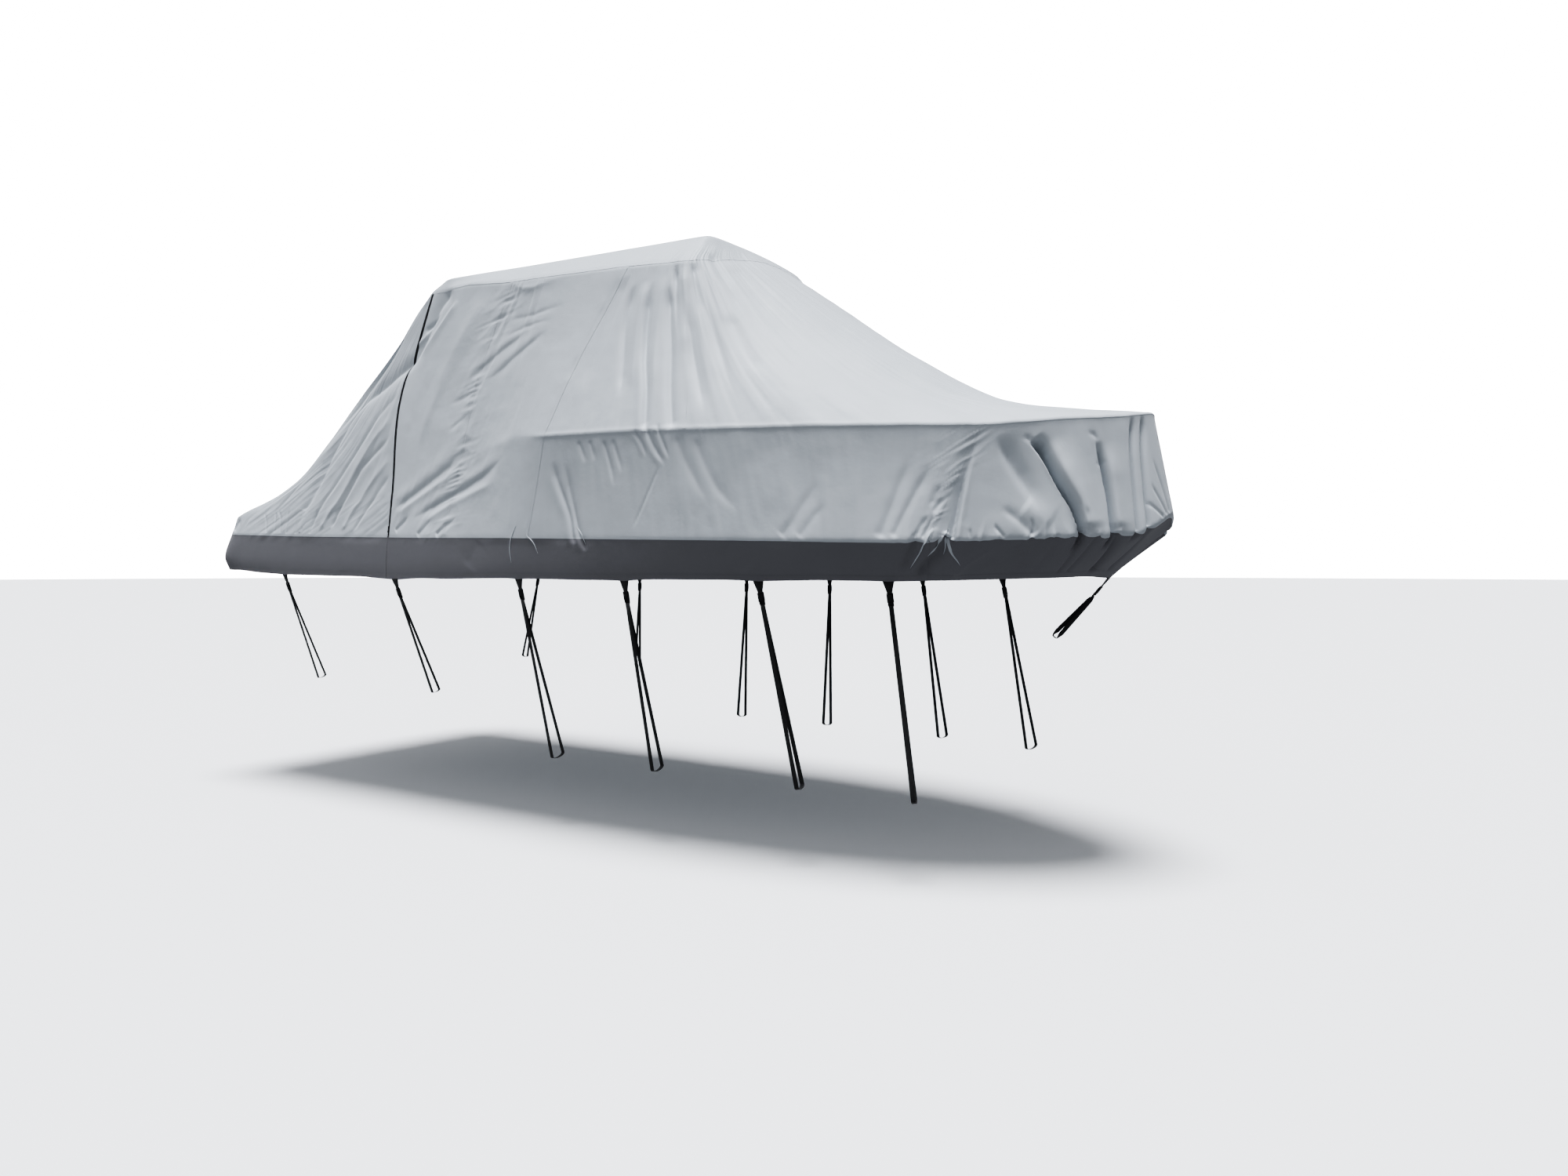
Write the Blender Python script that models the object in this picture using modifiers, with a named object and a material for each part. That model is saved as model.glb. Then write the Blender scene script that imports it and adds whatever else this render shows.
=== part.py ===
"""Fitted storage cover, 6.8 m long, in the shape in which it hangs with its tie-down straps done up.

Metres, +X towards the bow end, +Y to port, +Z up. The origin is the point under the middle of the roof cloth
that holds the cover up. The cover is a loft through the loops that run round it, from the roof's edge (crown)
down to the hem. One half is listed, from the stern's centreline round the starboard side to the nose, and the
port half mirrors it before each side gets folds of its own.
"""

import math
from collections import namedtuple
from itertools import accumulate

import bmesh
import bpy
import numpy as np

# Cloth and seams
SHEET = 0.002  # thickness of the coated cloth with its hems
SEAM_GAP = 0.0004  # clear space between the cut edges of two panels
ZIP_SHARE = 0.06  # the zip's width, as a share of the way to the next section line
ZIP_PROUD = 0.001
BELLY_AT = 0.65  # how far down the band its fullest line lies
BULGE_CENTRE = 0.6  # the band bulges away from the line at this share of the shoulder's x

# The roof's middle line, from its aft end to its fore end
SPINE_AFT_X, SPINE_FORE_X = -0.70, 0.70
SPINE_AFT_Z, SPINE_FORE_Z = -0.0215, 0.0260
RING_AT = 0.55  # a ring of points this far from the middle line out to the crown

# Tie-down straps
TAB_TOP, TAB_FOOT, TAB_LENGTH, TAB_THICK = 0.060, 0.028, 0.060, 0.003
BUCKLE_WIDTH, BUCKLE_LENGTH, BUCKLE_THICK, BUCKLE_ROUND = 0.036, 0.066, 0.014, 0.003
BUCKLE_TAPER = 0.86  # the buckle's foot against its head
WEBBING_WIDTH, WEBBING_THICK = 0.025, 0.002
STRAND_SPREAD = 0.005  # between the two strands where they leave the buckle
HEM_GAP, BUCKLE_GAP, WEBBING_GAP = 0.00045, 0.0003, 0.0006  # above the tab, the buckle and the webbing
STRAND_STEPS, TURN_STEPS = 4, 8
TURN_FLATTEN = 0.35  # depth of the turn at the foot of a strap, against its half width

# One row for each section line down the cover: cuts is the number of columns up to the next row, bulge
# how far the band's belly stands out, and each loop gives x, half breadth and z.
Station = namedtuple("Station", "name cuts bulge crown shoulder mid edge seam hem")
STATIONS = [
    Station("stern middle", 3, 0.060,
            (-1.000, 0.000, -0.024), (-1.100, 0.000, -0.075), (-2.370, 0.000, -1.330),
            (-3.100, 0.000, -1.650), (-3.120, 0.000, -1.775), (-3.150, 0.000, -2.060)),
    Station("stern quarter", 3, 0.060,
            (-1.000, 0.500, -0.026), (-1.090, 0.520, -0.080), (-2.370, 0.620, -1.330),
            (-3.090, 0.700, -1.650), (-3.105, 0.720, -1.775), (-3.140, 0.730, -2.060)),
    Station("stern corner aft", 2, 0.060,
            (-0.995, 0.820, -0.028), (-1.120, 0.850, -0.110), (-2.360, 1.020, -1.325),
            (-3.085, 1.120, -1.650), (-3.100, 1.150, -1.775), (-3.125, 1.165, -2.055)),
    Station("stern corner", 2, 0.045,
            (-0.990, 0.900, -0.030), (-1.130, 0.920, -0.122), (-2.330, 1.105, -1.312),
            (-3.045, 1.200, -1.650), (-3.060, 1.235, -1.775), (-3.090, 1.240, -2.056)),
    Station("stern corner side", 4, 0.015,
            (-0.975, 0.903, -0.030), (-1.124, 0.926, -0.124), (-2.150, 1.125, -1.270),
            (-2.830, 1.218, -1.645), (-2.880, 1.252, -1.780), (-2.900, 1.264, -2.072)),
    Station("quarter", 5, 0.006,
            (-0.955, 0.904, -0.030), (-1.116, 0.931, -0.127), (-1.720, 1.125, -1.120),
            (-2.080, 1.220, -1.600), (-2.130, 1.257, -1.803), (-2.130, 1.268, -2.098)),
    Station("zip", 2, 0.004,
            (-0.930, 0.905, -0.030), (-1.105, 0.936, -0.130), (-1.255, 1.095, -0.900),
            (-1.200, 1.200, -1.550), (-1.170, 1.250, -1.824), (-1.170, 1.262, -2.120)),
    Station("roof aft", 2, 0.004,
            (-0.600, 0.841, -0.019), (-0.700, 0.955, -0.122), (-0.900, 1.082, -0.850),
            (-0.900, 1.185, -1.450), (-0.930, 1.250, -1.830), (-0.930, 1.259, -2.121)),
    Station("puckered seam", 3, 0.004,
            (-0.250, 0.775, -0.008), (-0.290, 0.955, -0.166), (-0.500, 1.065, -0.800),
            (-0.550, 1.160, -1.350), (-0.626, 1.250, -1.836), (-0.626, 1.255, -2.122)),
    Station("edge end", 4, 0.004,
            (0.050, 0.717, 0.005), (0.000, 0.945, -0.176), (-0.015, 1.065, -0.724),
            (-0.018, 1.200, -1.235), (-0.020, 1.250, -1.848), (-0.020, 1.245, -2.110)),
    Station("slanting seam", 4, 0.004,
            (0.800, 0.573, 0.033), (0.640, 0.885, -0.193), (0.417, 1.065, -0.728),
            (0.260, 1.231, -1.245), (0.147, 1.249, -1.852), (0.147, 1.239, -2.112)),
    Station("roof fore", 5, 0.004,
            (0.900, 0.553, 0.037), (0.870, 0.854, -0.202), (0.824, 1.031, -0.743),
            (0.776, 1.226, -1.257), (0.720, 1.242, -1.865), (0.720, 1.208, -2.117)),
    Station("roof corner", 4, 0.004,
            (0.990, 0.536, 0.040), (1.050, 0.830, -0.210), (1.179, 0.990, -0.757),
            (1.294, 1.187, -1.272), (1.300, 1.215, -1.878), (1.300, 1.150, -2.112)),
    Station("bow shoulder", 3, 0.004,
            (1.000, 0.450, 0.042), (1.100, 0.700, -0.180), (1.514, 0.891, -0.805),
            (1.932, 1.077, -1.287), (1.950, 1.125, -1.893), (1.930, 1.010, -2.114)),
    Station("flare", 4, 0.004,
            (1.005, 0.350, 0.043), (1.120, 0.520, -0.140), (1.858, 0.733, -0.883),
            (2.463, 0.922, -1.299), (2.320, 1.034, -1.902), (2.250, 0.903, -2.113)),
    Station("dart seam", 6, 0.004,
            (1.005, 0.250, 0.044), (1.125, 0.360, -0.100), (2.204, 0.557, -0.966),
            (2.856, 0.762, -1.306), (2.635, 0.929, -1.901), (2.560, 0.774, -2.110)),
    Station("bow quarter", 4, 0.004,
            (1.005, 0.160, 0.045), (1.130, 0.220, -0.075), (2.450, 0.360, -1.020),
            (3.186, 0.520, -1.276), (3.270, 0.560, -1.880), (3.070, 0.440, -2.096)),
    Station("nose side", 3, 0.004,
            (1.005, 0.080, 0.045), (1.130, 0.110, -0.060), (2.580, 0.180, -1.035),
            (3.430, 0.270, -1.247), (3.530, 0.290, -1.862), (3.230, 0.230, -2.088)),
    Station("nose", 0, 0.004,
            (1.005, 0.000, 0.045), (1.130, 0.000, -0.055), (2.620, 0.000, -1.030),
            (3.530, 0.000, -1.212), (3.632, 0.000, -1.760), (3.295, 0.000, -2.096)),
]
LOOPS = ("crown", "shoulder", "mid", "edge", "seam", "hem")
STRAIGHT_LOOPS = ("crown", "shoulder")  # these two turn sharply at the roof's corners

# Rows down a section line: the loop each stretch begins at, and its number of rows
ROWS = (("crown", 1), ("shoulder", 3), ("mid", 3), ("edge", 4), ("seam", 2), ("belly", 1))
ROW_OF = dict(zip([loop for loop, _ in ROWS] + ["hem"], accumulate((count for _, count in ROWS), initial=0)))
SHOULDER_ROW, EDGE_ROW, SEAM_ROW, HEM_ROW = (ROW_OF[loop] for loop in ("shoulder", "edge", "seam", "hem"))

# One row for each main fold: it runs from (station, row) to (station, row) on both skins. Depth is
# outwards, so a trough is negative. Side is -1 for starboard, 1 for port and 0 for both.
Fold = namedtuple("Fold", "side start end width depth")
FOLDS = [
    Fold(0, (3.3, 1.5), (3.6, 7.5), 0.110, 0.030),
    Fold(-1, (5.5, 1.6), (4.6, 9.8), 0.100, -0.030),
    Fold(-1, (5.9, 1.8), (5.0, 9.6), 0.090, 0.028),
    Fold(-1, (6.3, 2.3), (5.3, 9.6), 0.090, -0.022),
    Fold(1, (5.3, 1.6), (4.4, 9.5), 0.110, -0.028),
    Fold(1, (5.8, 1.8), (4.9, 9.2), 0.100, 0.026),
    Fold(1, (6.4, 2.4), (5.5, 9.0), 0.100, -0.024),
    Fold(-1, (7.9, 6.8), (6.2, 8.8), 0.065, -0.022),
    Fold(-1, (8.8, 7.8), (7.5, 9.7), 0.065, -0.020),
    Fold(1, (8.3, 6.4), (6.7, 8.4), 0.070, -0.022),
    Fold(1, (8.9, 7.6), (7.9, 9.6), 0.065, -0.018),
    Fold(-1, (10.5, 1.6), (11.1, 6.6), 0.070, -0.020),
    Fold(-1, (10.8, 1.5), (11.3, 6.6), 0.070, 0.018),
    Fold(-1, (11.5, 1.3), (11.8, 6.6), 0.075, -0.020),
    Fold(-1, (12.2, 1.2), (12.2, 5.5), 0.080, 0.018),
    Fold(1, (10.7, 1.4), (11.2, 6.8), 0.080, -0.022),
    Fold(1, (11.4, 1.3), (11.7, 6.8), 0.080, 0.020),
    Fold(1, (12.3, 1.2), (12.5, 6.0), 0.090, -0.018),
    Fold(-1, (10.2, 8.0), (10.8, 10.8), 0.070, -0.018),
    Fold(-1, (15.1, 7.6), (15.2, 10.9), 0.060, -0.032),
    Fold(1, (14.9, 7.8), (15.1, 10.8), 0.075, -0.034),
    Fold(-1, (15.3, 7.5), (15.8, 10.2), 0.070, -0.015),
    Fold(-1, (15.6, 7.7), (16.1, 10.8), 0.065, -0.040),
    Fold(1, (15.5, 8.0), (15.7, 10.6), 0.075, -0.036),
    Fold(-1, (16.5, 7.6), (16.5, 10.8), 0.060, -0.030),
    Fold(1, (16.2, 7.8), (16.1, 10.6), 0.065, -0.030),
    Fold(0, (17.3, 7.6), (17.2, 10.6), 0.050, -0.022),
]
FOLD_SAMPLES = 9
FOLD_FADE = 0.18  # part of a fold's length over which each end dies away

# One row for each strap of a side: where it hangs from the hem, and the foot of its loop
Strap = namedtuple("Strap", "name hem_x foot_x foot_half_breadth foot_z depth")
STRAPS = [
    Strap("1", -2.315, -2.240, 1.050, -2.870, 0.06),
    Strap("2", -1.078, -0.925, 1.080, -2.890, 0.06),
    Strap("3", 0.068, 0.174, 1.066, -3.230, 0.10),
    Strap("4", 0.871, 0.961, 1.054, -3.230, 0.10),
    Strap("5", 1.705, 1.916, 1.015, -3.230, 0.10),
    Strap("6", 2.380, 2.573, 0.963, -3.230, 0.10),
]
BOW_STRAP = Strap("bow", 3.295, 3.010, 0.000, -2.440, 0.03)
SIDES = {-1: "starboard", 1: "port"}

# Colours, roughness
LIGHT_GREY = ((0.55, 0.56, 0.58), 0.62)
DARK_GREY = ((0.075, 0.075, 0.082), 0.70)
BLACK_WEBBING = ((0.012, 0.012, 0.013), 0.80)
BLACK_PLASTIC = ((0.015, 0.015, 0.016), 0.35)


# --------------------------------------------------------------------------- the cover's surface


def smooth_between(before, start, end, after, t):
    """A point on the cubic from start to end whose slopes come from the points on either side."""
    span = np.linalg.norm(end - start)
    slope_in = (end - before) * span / max(np.linalg.norm(end - start) + np.linalg.norm(start - before), 1e-9)
    slope_out = (after - start) * span / max(np.linalg.norm(after - end) + np.linalg.norm(end - start), 1e-9)
    return (
        (2 * t**3 - 3 * t**2 + 1) * start
        + (t**3 - 2 * t**2 + t) * slope_in
        + (3 * t**2 - 2 * t**3) * end
        + (t**3 - t**2) * slope_out
    )


def on_loop(loop, u):
    """The loop's point at station number u, on the half with y positive."""
    last = len(STATIONS) - 1
    i = min(int(u), last - 1)
    points = [np.array(getattr(STATIONS[k], loop)) for k in (max(i - 1, 0), i, i + 1, min(i + 2, last))]
    if loop in STRAIGHT_LOOPS:
        return points[1] + (u - i) * (points[2] - points[1])
    if i == 0:  # the loop crosses the centreline square to it
        points[0] = points[2] * (1, -1, 1)
    if i == last - 1:
        points[3] = points[1] * (1, -1, 1)
    return smooth_between(*points, u - i)


def bulge_at(u):
    i = min(int(u), len(STATIONS) - 2)
    return STATIONS[i].bulge + (u - i) * (STATIONS[i + 1].bulge - STATIONS[i].bulge)


def section_line(u):
    """The points of every row, from the crown to the hem, on the half with y positive."""
    crown, shoulder, mid, edge, seam, hem = (on_loop(loop, u) for loop in LOOPS)
    outward = np.array([hem[0] - BULGE_CENTRE * shoulder[0], hem[1], 0.0])
    belly = seam + BELLY_AT * (hem - seam) + bulge_at(u) * outward / np.linalg.norm(outward)
    stretches = {
        "crown": (crown, crown, shoulder, shoulder),
        "shoulder": (shoulder, shoulder, mid, edge),
        "mid": (shoulder, mid, edge, edge),
        "edge": (edge, edge, seam, seam),
        "seam": (seam, seam, belly, hem),
        "belly": (seam, belly, hem, hem),
    }
    points = [smooth_between(*stretches[loop], k / count) for loop, count in ROWS for k in range(count)]
    return np.array(points + [hem])


def columns():
    """The station number of every column of the half cover, with one on each side of the zip."""
    numbers = [STATION_NUMBER["zip"] + ZIP_SHARE, float(len(STATIONS) - 1)]
    for i, station in enumerate(STATIONS[:-1]):
        numbers += [i + k / station.cuts for k in range(station.cuts)]
    return sorted(numbers)


STATION_NUMBER = {station.name: number for number, station in enumerate(STATIONS)}
COLUMNS = columns()
LAST = len(COLUMNS) - 1


def column_of(name):
    return COLUMNS.index(float(STATION_NUMBER[name]))


def base_grid(side):
    """Rows of points for every column of one side: array [column, row, xyz]."""
    grid = np.array([section_line(u) for u in COLUMNS])
    grid[:, :, 1] *= side
    return grid


def place(grid, u, row):
    """A point of the grid at a station number and a row number that may lie between its lines."""
    column = np.interp(u, COLUMNS, range(len(COLUMNS)))
    i, j = min(int(column), LAST - 1), min(int(row), HEM_ROW - 1)
    a, b = column - i, row - j
    return (
        (1 - a) * (1 - b) * grid[i, j]
        + a * (1 - b) * grid[i + 1, j]
        + (1 - a) * b * grid[i, j + 1]
        + a * b * grid[i + 1, j + 1]
    )


def fold_heights(grid, side):
    """How far the main folds push each point of one side out or in."""
    heights = np.zeros(grid.shape[:2])
    steps = np.linspace(0, 1, FOLD_SAMPLES)
    for fold in FOLDS:
        if fold.side not in (0, side):
            continue
        (u0, r0), (u1, r1) = fold.start, fold.end
        line = [place(grid, u0 + t * (u1 - u0), r0 + t * (r1 - r0)) for t in steps]
        best = np.full(grid.shape[:2], np.inf)
        along = np.zeros(grid.shape[:2])
        for t, start, end in zip(steps, line, line[1:]):
            run = end - start
            part = np.clip(((grid - start) @ run) / (run @ run), 0, 1)
            away = np.linalg.norm(grid - (start + part[..., None] * run), axis=2)
            nearer = away < best
            best[nearer] = away[nearer]
            along[nearer] = (t + part * steps[1])[nearer]
        fade = np.clip(np.minimum(along, 1 - along) / FOLD_FADE, 0, 1)
        heights += fold.depth * fade * np.exp(-((best / fold.width) ** 2))
    return heights


def key_of(side, column, row):
    """Names a point of the cover. Both halves share the points on the centreline."""
    return (0 if column in (0, LAST) else side, column, row)


def spine_number(column):
    """The middle line of the roof has a point for each column of its sides, and ends in one point."""
    return min(max(column, column_of("stern corner")), column_of("roof corner"))


def spine_point(column):
    first, last = column_of("stern corner"), column_of("roof corner")
    t = (spine_number(column) - first) / (last - first)
    x = SPINE_AFT_X + t * (SPINE_FORE_X - SPINE_AFT_X)
    z = SPINE_AFT_Z + t * (SPINE_FORE_Z - SPINE_AFT_Z)
    return np.array([x, 0.0, z])


def skin_points():
    """Every named point of the outer skin before its folds, and how far a fold moves it."""
    points, heights = {}, {}
    for side in SIDES:
        grid = base_grid(side)
        folds = fold_heights(grid, side)
        for i in range(LAST + 1):
            for j in range(HEM_ROW + 1):
                points[key_of(side, i, j)] = grid[i, j]
                heights[key_of(side, i, j)] = folds[i, j]
            spine = spine_point(i)
            points[("spine", spine_number(i))] = spine
            points[("ring",) + key_of(side, i, 0)] = spine + RING_AT * (grid[i, 0] - spine)
    return points, heights


# --------------------------------------------------------------------------- the cut of the panels


def patch(side, columns_from_to, rows_from_to):
    """The four-sided faces between two columns and two rows of one side."""
    faces = []
    for i in range(*columns_from_to):
        for j in range(*rows_from_to):
            corners = ((i, j), (i, j + 1), (i + 1, j + 1), (i + 1, j))
            face = [key_of(side, column, row) for column, row in corners]
            faces.append(face if side < 0 else face[::-1])
    return faces


def roof_faces(side):
    """From the shoulder up to the crown, in to the ring and on to the middle line."""
    faces = patch(side, (0, LAST), (0, SHOULDER_ROW))
    for i in range(LAST):
        crown = [key_of(side, i, 0), key_of(side, i + 1, 0)]
        ring = [("ring",) + crown[0], ("ring",) + crown[1]]
        spine = [("spine", spine_number(i)), ("spine", spine_number(i + 1))]
        outer = [crown[0], crown[1], ring[1], ring[0]]
        inner = [ring[0], ring[1], spine[1]] + ([spine[0]] if spine[0] != spine[1] else [])
        faces += [outer, inner] if side < 0 else [outer[::-1], inner[::-1]]
    return faces


def panels():
    """Each panel's name, finish and faces."""
    zip_at, pucker, slant, corner, dart = map(
        column_of, ("zip", "puckered seam", "slanting seam", "roof corner", "dart seam")
    )

    def both(*area):
        return patch(-1, *area) + patch(1, *area)

    yield "roof_panel", LIGHT_GREY, roof_faces(-1) + roof_faces(1)
    yield "stern_panel", LIGHT_GREY, both((0, zip_at), (SHOULDER_ROW, SEAM_ROW))
    yield "front_panel", LIGHT_GREY, both((corner, LAST), (SHOULDER_ROW, EDGE_ROW))
    yield "bow_wall", LIGHT_GREY, both((dart, LAST), (EDGE_ROW, SEAM_ROW))
    yield "band_stern", DARK_GREY, both((0, zip_at), (SEAM_ROW, HEM_ROW))
    yield "band_bow", DARK_GREY, both((dart, LAST), (SEAM_ROW, HEM_ROW))
    yield "zip_starboard", BLACK_PLASTIC, patch(-1, (zip_at, zip_at + 1), (SHOULDER_ROW, SEAM_ROW))
    for side, name in SIDES.items():
        start = zip_at + 1 if side < 0 else zip_at
        yield f"quarter_panel_{name}", LIGHT_GREY, patch(side, (start, pucker), (SHOULDER_ROW, SEAM_ROW))
        yield f"middle_panel_{name}", LIGHT_GREY, patch(side, (pucker, slant), (SHOULDER_ROW, SEAM_ROW))
        yield f"side_panel_{name}", LIGHT_GREY, patch(side, (slant, corner), (SHOULDER_ROW, EDGE_ROW))
        yield f"wall_panel_{name}", LIGHT_GREY, patch(side, (slant, dart), (EDGE_ROW, SEAM_ROW))
        yield f"band_{name}", DARK_GREY, patch(side, (zip_at, dart), (SEAM_ROW, HEM_ROW))


# --------------------------------------------------------------------------- building the panels


def material(name, finish):
    colour, roughness = finish
    made = bpy.data.materials.new(name)
    made.use_nodes = True
    shader = made.node_tree.nodes["Principled BSDF"]
    shader.inputs["Base Color"].default_value = (*colour, 1.0)
    shader.inputs["Roughness"].default_value = roughness
    shader.inputs["Metallic"].default_value = 0.0
    return made


def add_object(collection, name, drawn, finish):
    """An object from a drawn bmesh, with its own material."""
    mesh = bpy.data.meshes.new(name)
    drawn.to_mesh(mesh)
    drawn.free()
    mesh.materials.append(material(name, finish))
    piece = bpy.data.objects.new(name, mesh)
    collection.objects.link(piece)
    return piece


def sides_of(face):
    return zip(face, face[1:] + face[:1])


def vertex_normals(points, faces):
    """The outward direction at each named point of the whole cover, shared by the panels that meet there."""
    normals = {key: np.zeros(3) for key in points}
    for face in faces:
        middle = sum(points[key] for key in face) / len(face)
        for start, end in sides_of(face):
            area = np.cross(points[start] - middle, points[end] - middle)
            normals[start] += area
            normals[end] += area
    return {key: n / np.linalg.norm(n) for key, n in normals.items() if np.linalg.norm(n) > 0}


def edge_pulls(points, faces):
    """How far to draw each point on a panel's cut edge back into the panel, to leave the seam's gap."""
    face_at = {side: face for face in faces for side in sides_of(face)}
    inward = {}
    for (start, end), face in face_at.items():
        if (end, start) in face_at:
            continue
        run = points[end] - points[start]
        run = run / np.linalg.norm(run)
        across = sum(points[key] for key in face) / len(face) - points[start]
        across = across - (across @ run) * run
        for key in (start, end):
            inward.setdefault(key, []).append(across / np.linalg.norm(across))
    half = SEAM_GAP / 2
    return {
        key: half * sum(ways) / (1 + ways[0] @ ways[-1]) if len(ways) == 2 else half * ways[0]
        for key, ways in inward.items()
    }


def split(face, points):
    """Two triangles on a four-sided face's shorter diagonal, so that both skins bend along the same line."""
    if len(face) == 3:
        return [face]
    a, b, c, d = face
    if np.linalg.norm(points[a] - points[c]) <= np.linalg.norm(points[b] - points[d]):
        return [[a, b, c], [a, c, d]]
    return [[a, b, d], [b, c, d]]


def build_panel(collection, name, finish, faces, outer, normals):
    """A cloth panel. Its skins follow the whole cover's normals, so that neighbours' cut edges stay parallel."""
    proud = ZIP_PROUD if name == "zip_starboard" else 0.0
    pulls = edge_pulls(outer, faces)
    drawn = bmesh.new()
    skins = {}
    for key in dict.fromkeys(key for face in faces for key in face):
        point = outer[key] + pulls.get(key, 0.0)
        skins[key] = (
            drawn.verts.new(point + proud * normals[key]),
            drawn.verts.new(point - SHEET * normals[key]),
        )
    used = {side for face in faces for side in sides_of(face)}
    for face in faces:
        drawn.faces.new([skins[key][0] for key in face])
        drawn.faces.new([skins[key][1] for key in reversed(face)])
        for start, end in sides_of(face):
            if (end, start) not in used:
                drawn.faces.new([skins[end][0], skins[start][0], skins[start][1], skins[end][1]])
    add_object(collection, name, drawn, finish).data.shade_smooth()


def build_cover(collection):
    points, heights = skin_points()
    cut = list(panels())
    every_face = [face for _, _, faces in cut for face in faces]
    normals = vertex_normals(points, every_face)
    folded = {key: points[key] + heights.get(key, 0.0) * normal for key, normal in normals.items()}
    normals = vertex_normals(folded, every_face)
    for name, finish, faces in cut:
        triangles = [triangle for face in faces for triangle in split(face, folded)]
        build_panel(collection, name, finish, triangles, folded, normals)
    return folded


# --------------------------------------------------------------------------- tie-down straps


def hem_point(skin, side, x):
    """The hem's point at x on one side, and the hem's direction there."""
    reach = range(column_of("stern corner side"), column_of("bow quarter"))
    hem = [skin[key_of(side, i, HEM_ROW)] for i in reach]
    for start, end in zip(hem, hem[1:]):
        if start[0] <= x <= end[0]:
            run = end - start
            return start + (x - start[0]) / run[0] * run, run / np.linalg.norm(run)
    raise ValueError(f"no hem at {x}")


def strap_axes(top, hem_run, foot):
    """Across the webbing along the hem, outwards, and down the strap."""
    down = foot - top
    down = down / np.linalg.norm(down)
    along = hem_run - (hem_run @ down) * down
    along = along / np.linalg.norm(along)
    return along, np.cross(down, along), down


def build_webbing(collection, name, pairs, thickness):
    """Flat webbing through pairs of points on its two edges, thickened by Solidify both ways."""
    drawn = bmesh.new()
    edges = [(drawn.verts.new(left), drawn.verts.new(right)) for left, right in pairs]
    for (a, b), (c, d) in zip(edges, edges[1:]):
        drawn.faces.new([a, b, d, c])
    piece = add_object(collection, name, drawn, BLACK_WEBBING)
    shell = piece.modifiers.new("webbing thickness", "SOLIDIFY")
    shell.thickness = thickness
    shell.offset = 0.0


def build_tab(collection, name, top, hem_run, along, down):
    """Doubled webbing sewn under the hem, wide at the top and as wide as the buckle below."""
    start = top + HEM_GAP * down
    foot = top + TAB_LENGTH * down
    wide, narrow = hem_run * TAB_TOP / 2, along * TAB_FOOT / 2
    build_webbing(collection, name, [(start - wide, start + wide), (foot - narrow, foot + narrow)], TAB_THICK)


def build_buckle(collection, name, top, along, outward, down):
    """A cam buckle: a housing with its edges rounded over."""
    drawn = bmesh.new()
    bmesh.ops.create_cube(drawn, size=1.0)
    centre = top + down * (TAB_LENGTH + BUCKLE_GAP + BUCKLE_LENGTH / 2)
    for vertex in drawn.verts:
        x, y, z = vertex.co
        taper = BUCKLE_TAPER if z > 0 else 1.0
        across = along * x * BUCKLE_WIDTH * taper + outward * y * BUCKLE_THICK * taper
        vertex.co = centre + across + down * z * BUCKLE_LENGTH
    piece = add_object(collection, name, drawn, BLACK_PLASTIC)
    rounded = piece.modifiers.new("rounded edges", "BEVEL")
    rounded.width = BUCKLE_ROUND
    rounded.segments = 2


def strap_route(top, outward, down, foot, depth):
    """The webbing's middle line: down the outer strand, round the foot and up the inner strand."""
    start = top + down * (TAB_LENGTH + BUCKLE_GAP + BUCKLE_LENGTH + WEBBING_GAP)
    outer_top = start + outward * STRAND_SPREAD / 2
    inner_top = start - outward * STRAND_SPREAD / 2
    radius = depth / 2
    centre = foot - outward * radius + np.array([0.0, 0.0, TURN_FLATTEN * radius])
    turn = []
    for k in range(TURN_STEPS + 1):
        angle = math.pi * k / TURN_STEPS
        turn.append(centre + radius * (math.cos(angle) * outward + TURN_FLATTEN * math.sin(angle) * down))
    steps = [k / STRAND_STEPS for k in range(STRAND_STEPS)]
    outer = [outer_top + (turn[0] - outer_top) * t for t in steps]
    inner = [inner_top + (turn[-1] - inner_top) * t for t in reversed(steps)]
    return outer + turn + inner


def build_strap(collection, label, top, hem_run, strap, side):
    """A tab, its buckle and the loop of webbing under it."""
    foot = np.array([strap.foot_x, side * strap.foot_half_breadth, strap.foot_z])
    along, outward, down = strap_axes(top, hem_run, foot)
    build_tab(collection, f"tab_{label}", top, hem_run, along, down)
    build_buckle(collection, f"buckle_{label}", top, along, outward, down)
    half = along * WEBBING_WIDTH / 2
    route = strap_route(top, outward, down, foot, strap.depth)
    build_webbing(collection, f"strap_{label}", [(p - half, p + half) for p in route], WEBBING_THICK)


def build_straps(collection, skin):
    for side, side_name in SIDES.items():
        for strap in STRAPS:
            top, run = hem_point(skin, side, strap.hem_x)
            top = top - np.array([0.0, side * SHEET / 2, 0.0])
            build_strap(collection, f"{side_name}_{strap.name}", top, -side * run, strap, side)
    nose = skin[key_of(0, LAST, HEM_ROW)] - np.array([SHEET / 2, 0.0, 0.0])
    build_strap(collection, BOW_STRAP.name, nose, np.array([0.0, 1.0, 0.0]), BOW_STRAP, 0)


def main():
    for old in list(bpy.data.objects):
        bpy.data.objects.remove(old, do_unlink=True)
    cover = bpy.data.collections.new("boat cover")
    bpy.context.scene.collection.children.link(cover)
    build_straps(cover, build_cover(cover))


main()
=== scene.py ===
# %% [markdown]
# # A storage cover as it hangs
#
# The real thing is about 35 square metres of light grey coated polyester, cut in panels, sewn to a dark
# grey band and tied down with black webbing. The frame holds its plain solids. This lesson makes the fine
# cloth: one smooth loft for the whole cover, folds pressed into it, and panels cut out of it, so
# that neighbours share their folds across a seam.

# %% Load the frame
import math
from collections import namedtuple
from itertools import accumulate

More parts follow.
